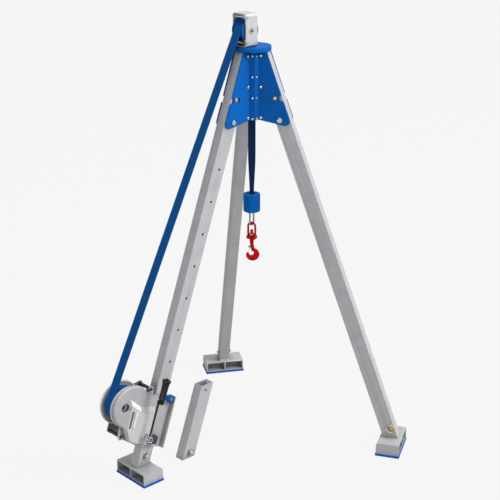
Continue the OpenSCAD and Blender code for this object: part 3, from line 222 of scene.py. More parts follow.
def metal_finish(name, colour, roughness, metallic, streak=(1, 1, 1), grain=0.00002, spread=0.06,
                 shine=0.5):
    """Extruded or machined metal: fine streaks, clouded roughness, a trace of bump and painted shade in its
    corners.
    """
    m = Maker(name, roughness, metallic)
    m.shader.inputs["Specular IOR Level"].default_value = shine
    fine = m.noise(m.mapped(streak), 900, 3)
    cloud = m.noise(m.mapped(), 14, 3)
    m.colour(m.ramp(cloud, [(0.3, shade(colour, 1 - spread)), (0.7, shade(colour, 1 + spread))]), 0.3)
    m.rough(m.value(fine, roughness - 0.07, roughness + 0.09))
    m.bump(fine, grain)
    return m.mat


def painted(name, colour, roughness=0.55, peel=0.00006, shine=0.08):
    """Powder coat: a low orange peel, slightly darker in clouds, with painted shade in its corners."""
    m = Maker(name, roughness)
    m.shader.inputs["Specular IOR Level"].default_value = shine
    peel_noise = m.noise(m.mapped(), 420, 2)
    cloud = m.noise(m.mapped(), 9, 4)
    m.colour(m.ramp(cloud, [(0.3, shade(colour, 0.9)), (0.7, shade(colour, 1.08))]), 0.3, 0.04)
    m.rough(m.value(peel_noise, roughness - 0.05, roughness + 0.07))
    m.bump(peel_noise, peel)
    return m.mat


def cast_metal(name, colour):
    """Sand-cast cover: a pebbled skin, with painted shade in its hollows and corners."""
    m = Maker(name, 0.5, 0.15)
    pebble = m.noise(m.mapped(), 520, 5, 0.6)
    cloud = m.noise(m.mapped(), 22, 4)
    m.colour(m.ramp(cloud, [(0.25, shade(colour, 0.9)), (0.75, shade(colour, 1.05))]), 0.25, 0.02)
    m.rough(m.value(pebble, 0.38, 0.62))
    m.bump(pebble, 0.00016)
    return m.mat


def moulded(name, colour, roughness=0.55, grain=0.00008, shine=0.5):
    """Moulded plastic or rubber with a fine grain."""
    m = Maker(name, roughness)
    m.shader.inputs["Specular IOR Level"].default_value = shine
    grit = m.noise(m.mapped(), 700, 4, 0.6)
    cloud = m.noise(m.mapped(), 30, 3)
    m.colour(m.ramp(cloud, [(0.3, shade(colour, 0.85)), (0.7, shade(colour, 1.15))]))
    m.rough(m.value(grit, roughness - 0.1, roughness + 0.12))
    m.bump(grit, grain)
    return m.mat


def webbing(name, colour):
    """Woven strap, drawn in the strap's own U (across) and V (along), both in metres."""
    m = Maker(name, 0.8)
    m.shader.inputs["Specular IOR Level"].default_value = 0.12
    m.shader.inputs["Sheen Weight"].default_value = 0.06
    m.shader.inputs["Sheen Roughness"].default_value = 0.4
    uv = m.coords.outputs["UV"]
    ribs = m.node("ShaderNodeTexWave", bands_direction="X", Scale=150.0, Distortion=0.4)
    ribs.inputs["Detail"].default_value = 1.0
    m.link(uv, ribs.inputs["Vector"])
    weft = m.node("ShaderNodeTexWave", bands_direction="Y", Scale=210.0, Distortion=0.6)
    weft.inputs["Detail"].default_value = 1.0
    m.link(uv, weft.inputs["Vector"])
    weave = m.node("ShaderNodeMix", data_type="FLOAT")
    weave.inputs["Factor"].default_value = 0.45
    m.link(ribs.outputs["Fac"], weave.inputs["A"])
    m.link(weft.outputs["Fac"], weave.inputs["B"])
    fuzz = m.noise(m.mapped(), 600, 3)
    both = m.node("ShaderNodeMix", data_type="FLOAT")
    both.inputs["Factor"].default_value = 0.2
    m.link(weave.outputs["Result"], both.inputs["A"])
    m.link(fuzz, both.inputs["B"])
    m.colour(m.ramp(both.outputs["Result"], [(0.2, shade(colour, 0.62)), (0.8, shade(colour, 1.18))]))
    m.bump(both.outputs["Result"], 0.0004, 0.8)
    return m.mat


MATS = {
    "aluminium": metal_finish("aluminium", srgb(194, 195, 198), 0.5, 0.1, (1, 1, 0.08), shine=0.3),
    "aluminium_bright": metal_finish("aluminium_bright", srgb(205, 206, 208), 0.36, 0.25, shine=0.4),
    "blue_paint": painted("blue_paint", srgb(7, 102, 190)),
    "blue_rubber": moulded("blue_rubber", srgb(2, 98, 200), 0.65, shine=0.15),
    "chrome": metal_finish("chrome", srgb(188, 189, 193), 0.16, 1.0, grain=0.000004, spread=0.02),
    "steel": metal_finish("steel", srgb(140, 142, 147), 0.36, 0.8),
    "dark_steel": metal_finish("dark_steel", srgb(62, 64, 68), 0.42, 0.7),
    "cast_grey": cast_metal("cast_grey", srgb(188, 189, 191)),
    # Lighter and darker copies of the cast metal, for painted light and shade on the cover's faces
    "cast_painted_light": cast_metal("cast_painted_light", srgb(214, 215, 216)),
    "cast_painted_highlight": cast_metal("cast_painted_highlight", srgb(246, 246, 247)),
    "cast_painted_shade": cast_metal("cast_painted_shade", srgb(118, 119, 121)),
    "webbing": webbing("webbing", srgb(8, 92, 166)),
    # Darker copy of the webbing, painted shade for the strap that hangs under the head
    "webbing_painted_shade": webbing("webbing_painted_shade", srgb(8, 52, 98)),
    "red_paint": painted("red_paint", srgb(206, 4, 6), 0.4, 0.00012, 0.1),
    "yellow_ring": metal_finish("yellow_ring", srgb(236, 196, 62), 0.3, 0.6, grain=0.00001),
    "black_plastic": moulded("black_plastic", srgb(46, 46, 48), 0.45),
    "black_gloss": moulded("black_gloss", srgb(9, 9, 10), 0.22, 0.00002, shine=0.3),
    "plate_grey": metal_finish("plate_grey", srgb(132, 133, 136), 0.45, 0.2),
    "brass": metal_finish("brass", srgb(196, 160, 84), 0.3, 1.0),
}

NODE_MATERIAL = {
    "sheave_bracket": "aluminium_bright",
    "back_plate": "plate_grey",
    "winch_tie_rods": "dark_steel",
    "gear_plate": "aluminium",
    "crank_arm": "black_gloss",
    "grip_fork": "black_gloss",
    "hook_nut": "steel",
    "hook_shackle": "steel",
}


def dress(obj, material):
    """Gives a CAD object one material in place of its own."""
    for slot in obj.material_slots:
        slot.material = MATS[material]
    if not obj.material_slots:
        obj.data.materials.append(MATS[material])


for sub in frame["record"]["subparts"]:
    node = sub["node"]
    dress(nodes[node], NODE_MATERIAL.get(node, sub["material_slot"]))


def soften(node, width):
    """Rounds the sharp edges of a CAD node as it is drawn, so that they catch the light."""
    obj = nodes[node]
    weld = obj.modifiers.new("weld", "WELD")
    weld.merge_threshold = 0.00001
    bevel = obj.modifiers.new("bevel", "BEVEL")
    bevel.width = width * MM
    bevel.segments = 2
    bevel.limit_method = "ANGLE"
    bevel.angle_limit = math.radians(35)
    bevel.use_clamp_overlap = True


EDGE_WIDTHS = {
    "head_disc": 1.2, "sheave_bracket": 0.8, "side_sheet_front": 0.8, "side_sheet_right": 0.8,
    "side_sheet_left": 0.8, "leg_tube_a": 1.0, "leg_tube_b": 1.0, "leg_tube_c": 1.0,
    "foot_a": 1.0, "foot_b": 1.0, "foot_c": 1.0, "foot_pad_a": 1.2, "foot_pad_b": 1.2,
    "foot_pad_c": 1.2, "winch_bracket": 1.0, "spare_leg_piece": 1.0,
    "bracket_block": 1.5, "crank_arm": 1.0, "grip_fork": 0.8, "hook_weight": 1.0,
    "gear_plate": 0.6, "back_plate": 0.8,
}
for node, width in EDGE_WIDTHS.items():
    soften(node, width)


# Mesh helpers
def new_object(name, verts, faces, material, uvs=None):
    """Mesh object from lists of points and faces, with UVs given per vertex if there are any."""
    mesh = bpy.data.meshes.new(name)
    mesh.from_pydata([tuple(v) for v in verts], [], faces)
    mesh.update()
    if uvs is not None:
        layer = mesh.uv_layers.new(name="UVMap")
        for loop in mesh.loops:
            layer.data[loop.index].uv = uvs[loop.vertex_index]
    obj = bpy.data.objects.new(name, mesh)
    bpy.context.scene.collection.objects.link(obj)
    mesh.materials.append(MATS[material])
    for poly in mesh.polygons:
        poly.use_smooth = True
    return obj


STRAP_CROWN = 0.25


def strap_mesh(name, path, side_dir, widths, material):
    """Flat woven strap along a path of (point, outward normal) pairs, in millimetres."""
    across = 12
    verts, uvs, faces = [], [], []
    length = 0.0
    ring = 2 * (across + 1)
    for i, (point, normal) in enumerate(path):
        if i:
            length += (point - path[i - 1][0]).length
        half = widths[i] / 2
        for face_side in (1, -1):
            for k in range(across + 1):
                u = face_side * (2 * k / across - 1)
                rise = STRAP_T / 2 - STRAP_CROWN * abs(u) ** 6 * 2
                p = point + side_dir * (half * u) + normal * (face_side * rise)
                verts.append(p * MM)
                uvs.append((half * u * MM, length * MM))
    for i in range(len(path) - 1):
        for k in range(ring):
            k2 = (k + 1) % ring
            a, b = i * ring, (i + 1) * ring
            faces.append((a + k, a + k2, b + k2, b + k))
    faces.append(tuple(range(ring - 1, -1, -1)))
    last = (len(path) - 1) * ring
    faces.append(tuple(range(last, last + ring)))
    return new_object(name, verts, faces, material, uvs)


def plane_vectors(leg):
    """Outward and sideways unit vectors of the upright plane of a leg."""
    a = AZ[leg]
    return Vector((math.cos(a), math.sin(a), 0)), Vector((-math.sin(a), math.cos(a), 0))


OUT_A, SIDE_A = plane_vectors("a")
UP = Vector((0, 0, 1))


def flat_point(r, z):
    """Point in the upright plane of the winch leg, in millimetres."""
    return SHIFT + OUT_A * r + UP * z


# Straps
HALF_TURN_STEPS, RUN_STEPS, WRAP_STEPS = 36, 60, 30
WRAP_ANGLE, SETTLE_ANGLE, SETTLE = 70, 40, 0.9


def line_over_head():
    """Strap from the hook side over the sheave and down to the drum."""
    path = []
    for i in range(HALF_TURN_STEPS + 1):
        a = math.radians(180) - (math.radians(180) - RUN_TILT) * i / HALF_TURN_STEPS
        n = OUT_A * math.cos(a) + UP * math.sin(a)
        path.append((flat_point(SHEAVE_R, SHEAVE_Z) + n * SHEAVE_R, n))
    n = OUT_A * math.cos(RUN_TILT) + UP * math.sin(RUN_TILT)
    start = path[-1][0]
    end = flat_point(DRUM_R, DRUM_Z) + n * RUN_R
    for i in range(1, RUN_STEPS + 1):
        path.append((start.lerp(end, i / RUN_STEPS), n))
    for i in range(1, WRAP_STEPS + 1):
        turned = WRAP_ANGLE * i / WRAP_STEPS
        a = RUN_TILT - math.radians(turned)
        n = OUT_A * math.cos(a) + UP * math.sin(a)
        sink = SETTLE * max(0.0, turned - (WRAP_ANGLE - SETTLE_ANGLE)) / SETTLE_ANGLE
        path.append((flat_point(DRUM_R, DRUM_Z) + n * (RUN_R - sink), n))
    return path


over = line_over_head()
strap_line = strap_mesh("strap_line", over, SIDE_A, [STRAP_W] * len(over), "webbing")
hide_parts("strap_over_sheave", "strap_run")
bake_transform(strap_line)


NECK_W, NECK_RISE = 29.0, 190.0


def hanging_path():
    """Strap from the sheave down into the weight, drawn narrower as it nears the weight."""
    path, widths = [], []
    top, low = SHEAVE_Z, WEIGHT_TOP - 22
    for i in range(61):
        z = top + (low - top) * i / 60
        k = min(1.0, max(0.0, (z - WEIGHT_TOP) / NECK_RISE))
        k = k * k * (3 - 2 * k)
        path.append((flat_point(0, z), -OUT_A))
        widths.append(NECK_W + (STRAP_W - NECK_W) * k)
    return path, widths


down, down_widths = hanging_path()
# The hanging strap takes the darker webbing copy as painted shade
strap_down = strap_mesh("strap_down", down, SIDE_A, down_widths, "webbing_painted_shade")
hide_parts("strap_hanging")
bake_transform(strap_down)


def wound_mesh():
    """Strap on the drum: the barrel's layers seen at the edges, under one outer turn."""
    profile = []
    half = STRAP_W / 2
    layers = 9
    inner = 46.0
    for k in range(layers + 1):
        r = inner + (WOUND_R - 0.2 - inner) * k / layers
        profile.append((r, half))
        if k < layers:
            profile.append((r + 0.6, half - 0.7))
    top = [(WOUND_R, half * u) for u in (0.96, 0.6, 0.2, -0.2, -0.6, -0.96)]
    loop = profile + top + [(r, -s) for r, s in reversed(profile)]
    steps = 120
    verts, uvs, faces = [], [], []
    for i in range(steps):
        a = 2 * math.pi * i / steps
        n = OUT_A * math.cos(a) + UP * math.sin(a)
        for r, s in loop:
            verts.append((flat_point(DRUM_R, DRUM_Z) + n * r + SIDE_A * s) * MM)
            uvs.append((s * MM, r * a * MM))
    count = len(loop)
    for i in range(steps):
        for k in range(count):
            k2 = (k + 1) % count
            a, b = i * count, ((i + 1) % steps) * count
            faces.append((a + k, b + k, b + k2, a + k2))
    return new_object("strap_wound", verts, faces, "webbing", uvs)


wound = wound_mesh()
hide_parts("wound_strap")
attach(wound, "drum")


# Fasteners and other turned pieces
def perpendicular(axis):
    """Two unit vectors square to the axis and to each other."""
    helper = UP if abs(axis.dot(UP)) < 0.9 else Vector((1, 0, 0))
    u = axis.cross(helper).normalized()
    return u, axis.cross(u)


HEX_STEPS = 24
THREAD_PITCH = 1.6


def hexagon_radii(flats):
    """Radii of a hexagon with the given width across its flats."""
    radii = []
    for i in range(HEX_STEPS):
        a = math.degrees(2 * math.pi * i / HEX_STEPS)
        off = math.radians((a + 30) % 60 - 30)
        radii.append(flats / 2 / math.cos(off))
    return radii


class Parts:
    """Collects the faces of several small pieces that become one object."""

    def __init__(self):
        self.verts, self.faces = [], []

    def rings(self, rings):
        """Joins rings of equal length, lists of points in millimetres, and closes both ends."""
        base, n = len(self.verts), len(rings[0])
        for ring in rings:
            self.verts.extend(p * MM for p in ring)
        for i in range(len(rings) - 1):
            for k in range(n):
                k2 = (k + 1) % n
                a, b = base + i * n, base + (i + 1) * n
                self.faces.append((a + k, a + k2, b + k2, b + k))
        self.faces.append(tuple(range(base + n - 1, base - 1, -1)))
        last = base + (len(rings) - 1) * n
        self.faces.append(tuple(range(last, last + n)))

    def lathe(self, at, axis, profile, steps=36):
        """Turned piece: profile pairs are (radius, distance along the axis)."""
        u, v = perpendicular(axis)
        rings = []
        for r, h in profile:
            ring = []
            for i in range(steps):
                a = 2 * math.pi * i / steps
                ring.append(at + axis * h + (u * math.cos(a) + v * math.sin(a)) * max(r, 0.01))
            rings.append(ring)
        self.rings(rings)

    def nut(self, at, axis, flats, low, high, bore, turn):
        """Hexagon nut or bolt head with a chamfered end; bore is the radius of its thread."""
        u, v = perpendicular(axis)
        hexagon = hexagon_radii(flats)
        chamfered = [min(x, flats / 2 * 1.02) for x in hexagon]
        thread = [bore] * HEX_STEPS
        rows = [
            (chamfered, low), (hexagon, low + 1.1), (hexagon, high - 1.1), (chamfered, high),
            ([bore + 1] * HEX_STEPS, high), (thread, high - 0.8), (thread, high - 2),
        ]
        points = []
        for radii, h in rows:
            row = []
            for i, radius in enumerate(radii):
                a = 2 * math.pi * i / HEX_STEPS + turn
                row.append(at + axis * h + (u * math.cos(a) + v * math.sin(a)) * radius)
            points.append(row)
        self.rings(points)

    def washer(self, at, axis, r, low, high):
        self.lathe(at, axis, [(r - 0.4, low), (r, low + 0.4), (r, high - 0.4), (r - 0.4, high)])

    def stud(self, at, axis, r, low, high):
        """Threaded end of a bolt."""
        profile = [(r - 0.8, low)]
        h = low
        while h < high - THREAD_PITCH:
            crest = [(r, h + THREAD_PITCH * 0.3), (r, h + THREAD_PITCH * 0.5)]
            profile += crest + [(r - 0.8, h + THREAD_PITCH * 0.95)]
            h += THREAD_PITCH
        profile += [(r - 0.8, high - 0.6), (r - 1.6, high)]
        self.lathe(at, axis, profile)

    def socket_head(self, at, axis, r, h, flats, depth, turn):
        """Button head with a hexagon socket."""
        u, v = perpendicular(axis)
        dome = [(1, 0), (1, 0.22), (0.97, 0.4), (0.88, 0.66), (0.72, 0.88), (0.6, 0.97)]
        rings = [[(r * k, h * z)] * HEX_STEPS for k, z in dome]
        hexagon = hexagon_radii(flats)
        rings.append([(x * 1.08, h) for x in hexagon])
        rings.append([(x, h - 0.3) for x in hexagon])
        rings.append([(x, h - depth) for x in hexagon])
        rings.append([(0.01, h - depth * 1.15)] * HEX_STEPS)
        points = []
        for ring in rings:
            row = []
            for i, (radius, z) in enumerate(ring):
                a = 2 * math.pi * i / HEX_STEPS + turn
                row.append(at + axis * z + (u * math.cos(a) + v * math.sin(a)) * radius)
            points.append(row)
        self.rings(points)

    def make(self, name, material, angle=40):
        """One object of all that was collected, with its sharper edges kept sharp."""
        obj = new_object(name, self.verts, self.faces, material)
        mark_sharp(obj, angle)
        return obj


def mark_sharp(obj, angle):
    """Marks edges that turn by more than the angle, so that smooth shading stops at them."""
    mesh = obj.data
    normals = {}
    for poly in mesh.polygons:
        for key in poly.edge_keys:
            normals.setdefault(key, []).append(poly.normal.copy())
    limit = math.cos(math.radians(angle))
    sharp = mesh.attributes.get("sharp_edge") or mesh.attributes.new("sharp_edge", "BOOLEAN", "EDGE")
    for i, edge in enumerate(mesh.edges):
        pair = normals.get(tuple(sorted(edge.vertices)), [])
        sharp.data[i].value = len(pair) == 2 and pair[0].dot(pair[1]) < limit


def turned_frame(degrees, x, y, z):
    """Point of a frame turned about the tripod's own upright axis, in millimetres."""
    a = math.radians(degrees)
    return SHIFT + Vector((x * math.cos(a) - y * math.sin(a), x * math.sin(a) + y * math.cos(a), z))


def axis_of(degrees):
    """Level unit vector, turned from +X by the given angle."""
    return Vector((math.cos(math.radians(degrees)), math.sin(math.radians(degrees)), 0))


PLATE_OUT, BOLT_R, BOLT_Z, BOLT_PITCH = 33.0, 52.285, 1608.0, 142.0
STRIP_REACH, STRIP_MID, SCREW_HEIGHTS = 55.5, 19.0526, (1604, 1700, 1796, 1892)


def sheet_bolt_heads():
    """Three bolt heads on each side of each leg."""
    heads = Parts()
    for az in (210, 330, 90):
        for side in (-1, 1):
            for i in range(3):
                at = turned_frame(az, BOLT_R, side * PLATE_OUT, BOLT_Z + i * BOLT_PITCH)
                heads.socket_head(at, axis_of(az + 90) * side, 7.5, 5.0, 5.5, 3.4, 0.3 * i + 0.2 * side)
    return heads.make("sheet_bolt_heads", "chrome")


def core_screw_heads():
    """Four screw heads down both strips of each side sheet."""
    heads = Parts()
    for az in (30, 150, 270):
        for side in (-1, 1):
            for i, z in enumerate(SCREW_HEIGHTS):
                at = turned_frame(az + side * 30, STRIP_REACH, -side * STRIP_MID, z)
                heads.socket_head(at, axis_of(az + side * 30), 5.5, 3.5, 4.0, 2.4, 0.25 * i)
    return heads.make("core_screw_heads", "chrome")


piece = sheet_bolt_heads()
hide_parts("sheet_bolts")
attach(piece, "head")
piece = core_screw_heads()
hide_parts("core_screws")
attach(piece, "head")


# Hook, forged in one piece
EYE_LOW, SHANK_D = 1007.3, 14.0
BOWL_R, BOWL_Z, BOWL_SWELL, HOOK_BAR = 21.5, 931.3, 3.4, 24.0
HOOK_TURN, THROAT_ANGLE, BOWL_SWEEP = -13, 75, 262
BAR_FLATNESS, BAR_STEPS, BAR_SECTIONS = 0.86, 32, 26
LUG_AT, LUG_R, LUG_LONG, LUG_CHAMFER = (-10, 966.3), 6, 4, 0.8


def hook_section(u):
    """Place and size of the hook's bar, with u from 0 at the throat to 1 at the tip."""
    a = math.radians(THROAT_ANGLE - u * BOWL_SWEEP)
    k = min(1.0, 0.85 + 1.3 * u)
    x, z = 1.5 + BOWL_R * math.cos(a) * k, BOWL_Z + BOWL_R * math.sin(a)
    size = HOOK_BAR / 2 * (0.74 + 0.58 * u if u < 0.45 else 1 - 0.98 * (u - 0.45) ** 1.25)
    return x, z, size


def bowl_section(u):
    """Section of the hook, forged thicker round its bowl than at its neck and tip."""
    x, z, size = hook_section(u)
    rise = min(max((u - 0.1) / 0.22, 0.0), 1.0)
    fall = min(max((1 - u) / 0.3, 0.0), 1.0)
    return x, z, size + BOWL_SWELL * rise * fall


def smooth_path(points, steps=4):
    """Smooth curve through all the points, with this many steps from each one to the next."""
    fine = []
    for i in range(len(points) - 1):
        near = (points[max(i - 1, 0)], points[i], points[i + 1], points[min(i + 2, len(points) - 1)])
        for k in range(steps):
            t = k / steps
            fine.append(tuple(
                0.5 * (2 * b + (c - a) * t + (2 * a - 5 * b + 4 * c - d) * t * t
                       + (3 * b - a - 3 * c + d) * t ** 3)
                for a, b, c, d in zip(*near)
            ))
    return fine + [points[-1]]


def bar_ring(path, i):
    """Oval ring of the hook's bar, square to its path of (x, z, size)."""
    x, z, size = path[i]
    before, after = path[max(i - 1, 0)], path[min(i + 1, len(path) - 1)]
    dx, dz = after[0] - before[0], after[1] - before[1]
    far = math.hypot(dx, dz)
    dx, dz = dx / far, dz / far
    side = axis_of(HOOK_TURN + 90)
    ring = []
    for k in range(BAR_STEPS):
        a = 2 * math.pi * k / BAR_STEPS
        across = size * math.cos(a)
        deep = size * BAR_FLATNESS * math.sin(a)
        ring.append(turned_frame(HOOK_TURN, x - dz * across, 0, z + dx * across) + side * deep)
    return ring


def tip_rings(rings, size):
    """Rings that round off the tip of the hook."""
    tip = rings[-1]
    centre = sum(tip, Vector()) / BAR_STEPS
    ahead = (centre - sum(rings[-2], Vector()) / BAR_STEPS).normalized()
    out = []
    for k in (0.35, 0.62, 0.82, 0.95):
        rise = math.sin(math.acos(1 - k))
        out.append([centre + (p - centre) * (1 - k) ** 0.5 + ahead * (size * 0.5 * rise) for p in tip])
    return out


def lug_rings():
    """Rings of the lug that the latch's rivet goes through, round on its outer end."""
    rings = []
    for side, inset in ((-4, LUG_CHAMFER), (-3.2, 0), (3.2, 0), (4, LUG_CHAMFER)):
        r = LUG_R - inset
        ring = []
        for k in range(24):
            a = 2 * math.pi * k / 24
            x, z = r * math.cos(a), r * math.sin(a)
            if x > 0:
                x, z = x + LUG_LONG, max(-LUG_LONG, min(r, z * 1.1))
            ring.append(turned_frame(HOOK_TURN, LUG_AT[0] + x, side, LUG_AT[1] + z))
        rings.append(ring)
    return rings


def forged_hook():
    """Hook with its collar, shank and latch lug."""
    path = [(0.0, EYE_LOW - 14, SHANK_D / 2 + 1.0), (0.0, EYE_LOW - 23, SHANK_D / 2 + 1.2)]
    path += [bowl_section(i / BAR_SECTIONS) for i in range(BAR_SECTIONS + 1)]
    fine = smooth_path(path)
    rings = [bar_ring(fine, i) for i in range(len(fine))]
    rings += tip_rings(rings, path[-1][2])
    hook = Parts()
    hook.rings(rings)
    at = turned_frame(HOOK_TURN, 0, 0, 0)
    shank_r = SHANK_D / 2
    r = shank_r + 3
    low, high = EYE_LOW - 18, EYE_LOW - 0.3
    collar = [(r - 2, low - 3), (r - 0.6, low - 1), (r, low + 1), (r, high - 1.2), (r - 1.2, high)]
    hook.lathe(at, UP, collar)
    hook.lathe(at, UP, [(shank_r, low), (shank_r, EYE_LOW + 44), (shank_r - 1.5, EYE_LOW + 46)])
    hook.rings(lug_rings())
    return hook.make("hook_body", "red_paint", 50)


piece = forged_hook()
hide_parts("lifting_hook")
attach(piece, "hook")


# Small pieces of the winch
def leg_point(out, side, up):
    """Point of the winch leg's frame, in millimetres."""
    return on_leg("a", out, side, up) / MM


LEG_ROT = leg_matrix("a", 0, 0, 0).to_3x3()
LEG_SIDE, LEG_UP = LEG_ROT @ Vector((0, 1, 0)), LEG_ROT @ Vector((0, 0, 1))
HALF_WIDTH, SHANK_R, NUT_FLATS = 25.0, 6.0, 21.5
FOOT_BOLT_UP, SPARE_OFF, SPARE_BOLT_UP = 118.0, 297.0, 133.0


def through_bolt(name, at, washer_r):
    """Bolt across a leg tube: head, washers, nut and threaded end."""
    bolt = Parts()
    wall = HALF_WIDTH + 0.05
    bolt.washer(at, LEG_SIDE, washer_r, wall, wall + 2.6)
    bolt.washer(at, LEG_SIDE, washer_r * 0.76, wall + 2.6, wall + 4.4)
    bolt.nut(at, LEG_SIDE, NUT_FLATS, wall + 4.4, wall + 13, SHANK_R, 0.2)
    bolt.stud(at, LEG_SIDE, SHANK_R, wall + 8, wall + 16.5)
    bolt.washer(at, -LEG_SIDE, washer_r, wall, wall + 2.6)
    bolt.nut(at, -LEG_SIDE, NUT_FLATS, wall + 2.6, wall + 11, 2.5, 0.4)
    bolt.lathe(at, LEG_SIDE, [(SHANK_R, -wall), (SHANK_R, wall)])
    return bolt.make(name, "chrome", 35)


piece = through_bolt("foot_bolt_dressed", leg_point(0, 0, FOOT_BOLT_UP), 15.0)
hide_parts("foot_bolt_a")
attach(piece, "leg_a")
spare_at = leg_point(-SPARE_OFF * math.cos(LEAN), 0, SPARE_BOLT_UP)
piece = through_bolt("spare_bolt_dressed", spare_at, 13.0)
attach(piece, "spare_leg")


# Gear cover: a cast dish over the drum gear with a roofed box over the two smaller gears
def solid(rings, name):
    """Closed solid through rings of (out, side, up) in millimetres; an end ring may be one point."""
    shape = bmesh.new()
    rows = [[shape.verts.new(p) for p in ring] for ring in rings]
    for low, high in zip(rows, rows[1:]):
        n = max(len(low), len(high))
        for k in range(n):
            corners = [
                low[k % len(low)], low[(k + 1) % len(low)],
                high[(k + 1) % len(high)], high[k % len(high)],
            ]
            shape.faces.new(list(dict.fromkeys(corners)))
    for row in (rows[0], rows[-1]):
        if len(row) > 2:
            shape.faces.new(row)
    bmesh.ops.recalc_face_normals(shape, faces=shape.faces)
    mesh = bpy.data.meshes.new(name)
    shape.to_mesh(mesh)
    shape.free()
    obj = bpy.data.objects.new(name, mesh)
    bpy.context.scene.collection.objects.link(obj)
    return obj


def prism(*rows):
    """Solid through outlines in the leg's plane, each row being (side, outline of out and up)."""
    return solid([[(o, side, u) for o, u in outline] for side, outline in rows], "prism")


def turned_solid(centre, profile, steps=96):
    """Solid turned about a line across the leg at centre (out, up); profile pairs are (radius, side)."""
    rings = []
    for r, side in profile:
        angles = [2 * math.pi * i / steps for i in range(steps if r else 1)]
        rings.append([(centre[0] + r * math.cos(a), side, centre[1] + r * math.sin(a)) for a in angles])
    return solid(rings, "turned")


def bore(centre, r, low, high, steps=96):
    """Plain cylinder across the leg."""
    return turned_solid(centre, [(0, low), (r, low), (r, high), (0, high)], steps)


def joined(base, tools, operation):
    """Joins the tools to the base or cuts them out of it, and removes them."""
    for tool in tools:
        step = base.modifiers.new(tool.name, "BOOLEAN")
        step.object = tool
        step.operation = operation
        step.solver = "EXACT"
    seen = base.evaluated_get(bpy.context.evaluated_depsgraph_get())
    mesh = bpy.data.meshes.new_from_object(seen)
    base.modifiers.clear()
    base.data = mesh
    for tool in tools:
        bpy.data.objects.remove(tool)


def round_edges(obj, width, segments, keep):
    """Rounds the edges of a solid, apart from those that keep(edge) is true for."""
    shape = bmesh.new()
    shape.from_mesh(obj.data)
    edges = [edge for edge in shape.edges if not keep(edge)]
    bmesh.ops.bevel(shape, geom=edges, offset=width, segments=segments, profile=0.5,
                    affect="EDGES", clamp_overlap=True)
    shape.to_mesh(obj.data)
    shape.free()


def stand_on_leg(obj):
    """Closes a mesh drawn in (out, side, up) millimetres and moves it to its place on the winch leg."""
    shape = bmesh.new()
    shape.from_mesh(obj.data)
    bmesh.ops.remove_doubles(shape, verts=shape.verts, dist=0.005)
    bmesh.ops.dissolve_degenerate(shape, edges=shape.edges, dist=0.001)
    bmesh.ops.holes_fill(shape, edges=[edge for edge in shape.edges if edge.is_boundary], sides=0)
    for vert in shape.verts:
        vert.co = leg_point(*vert.co) * MM
    bmesh.ops.recalc_face_normals(shape, faces=shape.faces)
    shape.to_mesh(obj.data)
    shape.free()


def arc_points(centre, r, start, end, steps):
    """Points along an arc whose angles are in degrees."""
    out = []
    for i in range(steps + 1):
        a = math.radians(start + (end - start) * i / steps)
        out.append((centre[0] + r * math.cos(a), centre[1] + r * math.sin(a)))
    return out


def bar_outline(centre, width, height):
    """Upright bar with round ends."""
    r = width / 2
    rise = height / 2 - r
    top = arc_points((centre[0], centre[1] + rise), r, 0, 180, 12)
    return top + arc_points((centre[0], centre[1] - rise), r, 180, 360, 12)


COVER_AT, COVER_R, COVER_EDGE = (DRUM_OUT - 6, DRUM_UP + 3), 101.0, 8.0
PLATE_T, COVER_T, BOX_T, WALL = 43.0, 60.0, 73.5, 4.0
CRANK_OUT, CRANK_UP = 84.0, 229.0
CRANK_AT, LAY_AT, HUB_HOLE_AT = (CRANK_OUT, CRANK_UP), (138.15, 277.2), (DRUM_OUT + 35, DRUM_UP)
BOX_SIDE, ROOF_MID, ROOF_UP = 203.7, 135.2, 365.7
ROOF_SLOPE, ROOF_DROP = math.tan(math.radians(25)), 20.8
GROOVE_AT = (BOX_SIDE - 20, LAY_AT[1] + 30)
RIB_AT = (BOX_SIDE - 41, LAY_AT[1] + 32)
LOWER_BAR = [(47, 186), (123, 186), (123, 193), (47, 193)]


def case_outline(w):
    """Flat outline of the gear case, drawn in by w."""
    top, inner, low = COVER_AT[1] + COVER_R - 25, CRANK_OUT - 50, CRANK_UP - 40
    corners = [
        (112, top - w), (inner + 22 + w, top - 21 - w), (inner + 10 + w, top - 39),
        (inner + w, low + 16 + w), (inner + 10 + w, low + w), (CRANK_OUT + 42, low + 1 + w),
        (DRUM_OUT - 22 - w, low + 12 + w), (BOX_SIDE - 8 - w, CRANK_UP + 14),
    ]
    return arc_points(COVER_AT, COVER_R - 0.6 - w, -78, 128, 60) + corners


def box_outline(inset, drop):
    """Outline of the box: inset draws its sides in, drop lowers its two roofs."""
    left = BOX_SIDE + 3 - inset
    low = CRANK_UP - 39
    slope = drop / math.cos(math.atan(ROOF_SLOPE))
    turn = ROOF_MID + (slope - drop) / ROOF_SLOPE
    return [
        (turn, ROOF_UP - drop), (CRANK_OUT - 32 + inset / 2, ROOF_UP - drop),
        (CRANK_OUT - 50 + inset / 2, CRANK_UP + 10), (CRANK_OUT - 20, low + inset / 2),
        (CRANK_OUT + 36, low + inset / 2), (LAY_AT[0] + 30 - inset / 2, low + 11 + inset / 2),
        (BOX_SIDE - 10 - inset, CRANK_UP + 14), (BOX_SIDE - inset, LAY_AT[1] - 15),
        (left, ROOF_UP - 8), (left, ROOF_UP + (left - ROOF_MID) * ROOF_SLOPE - slope),
    ]


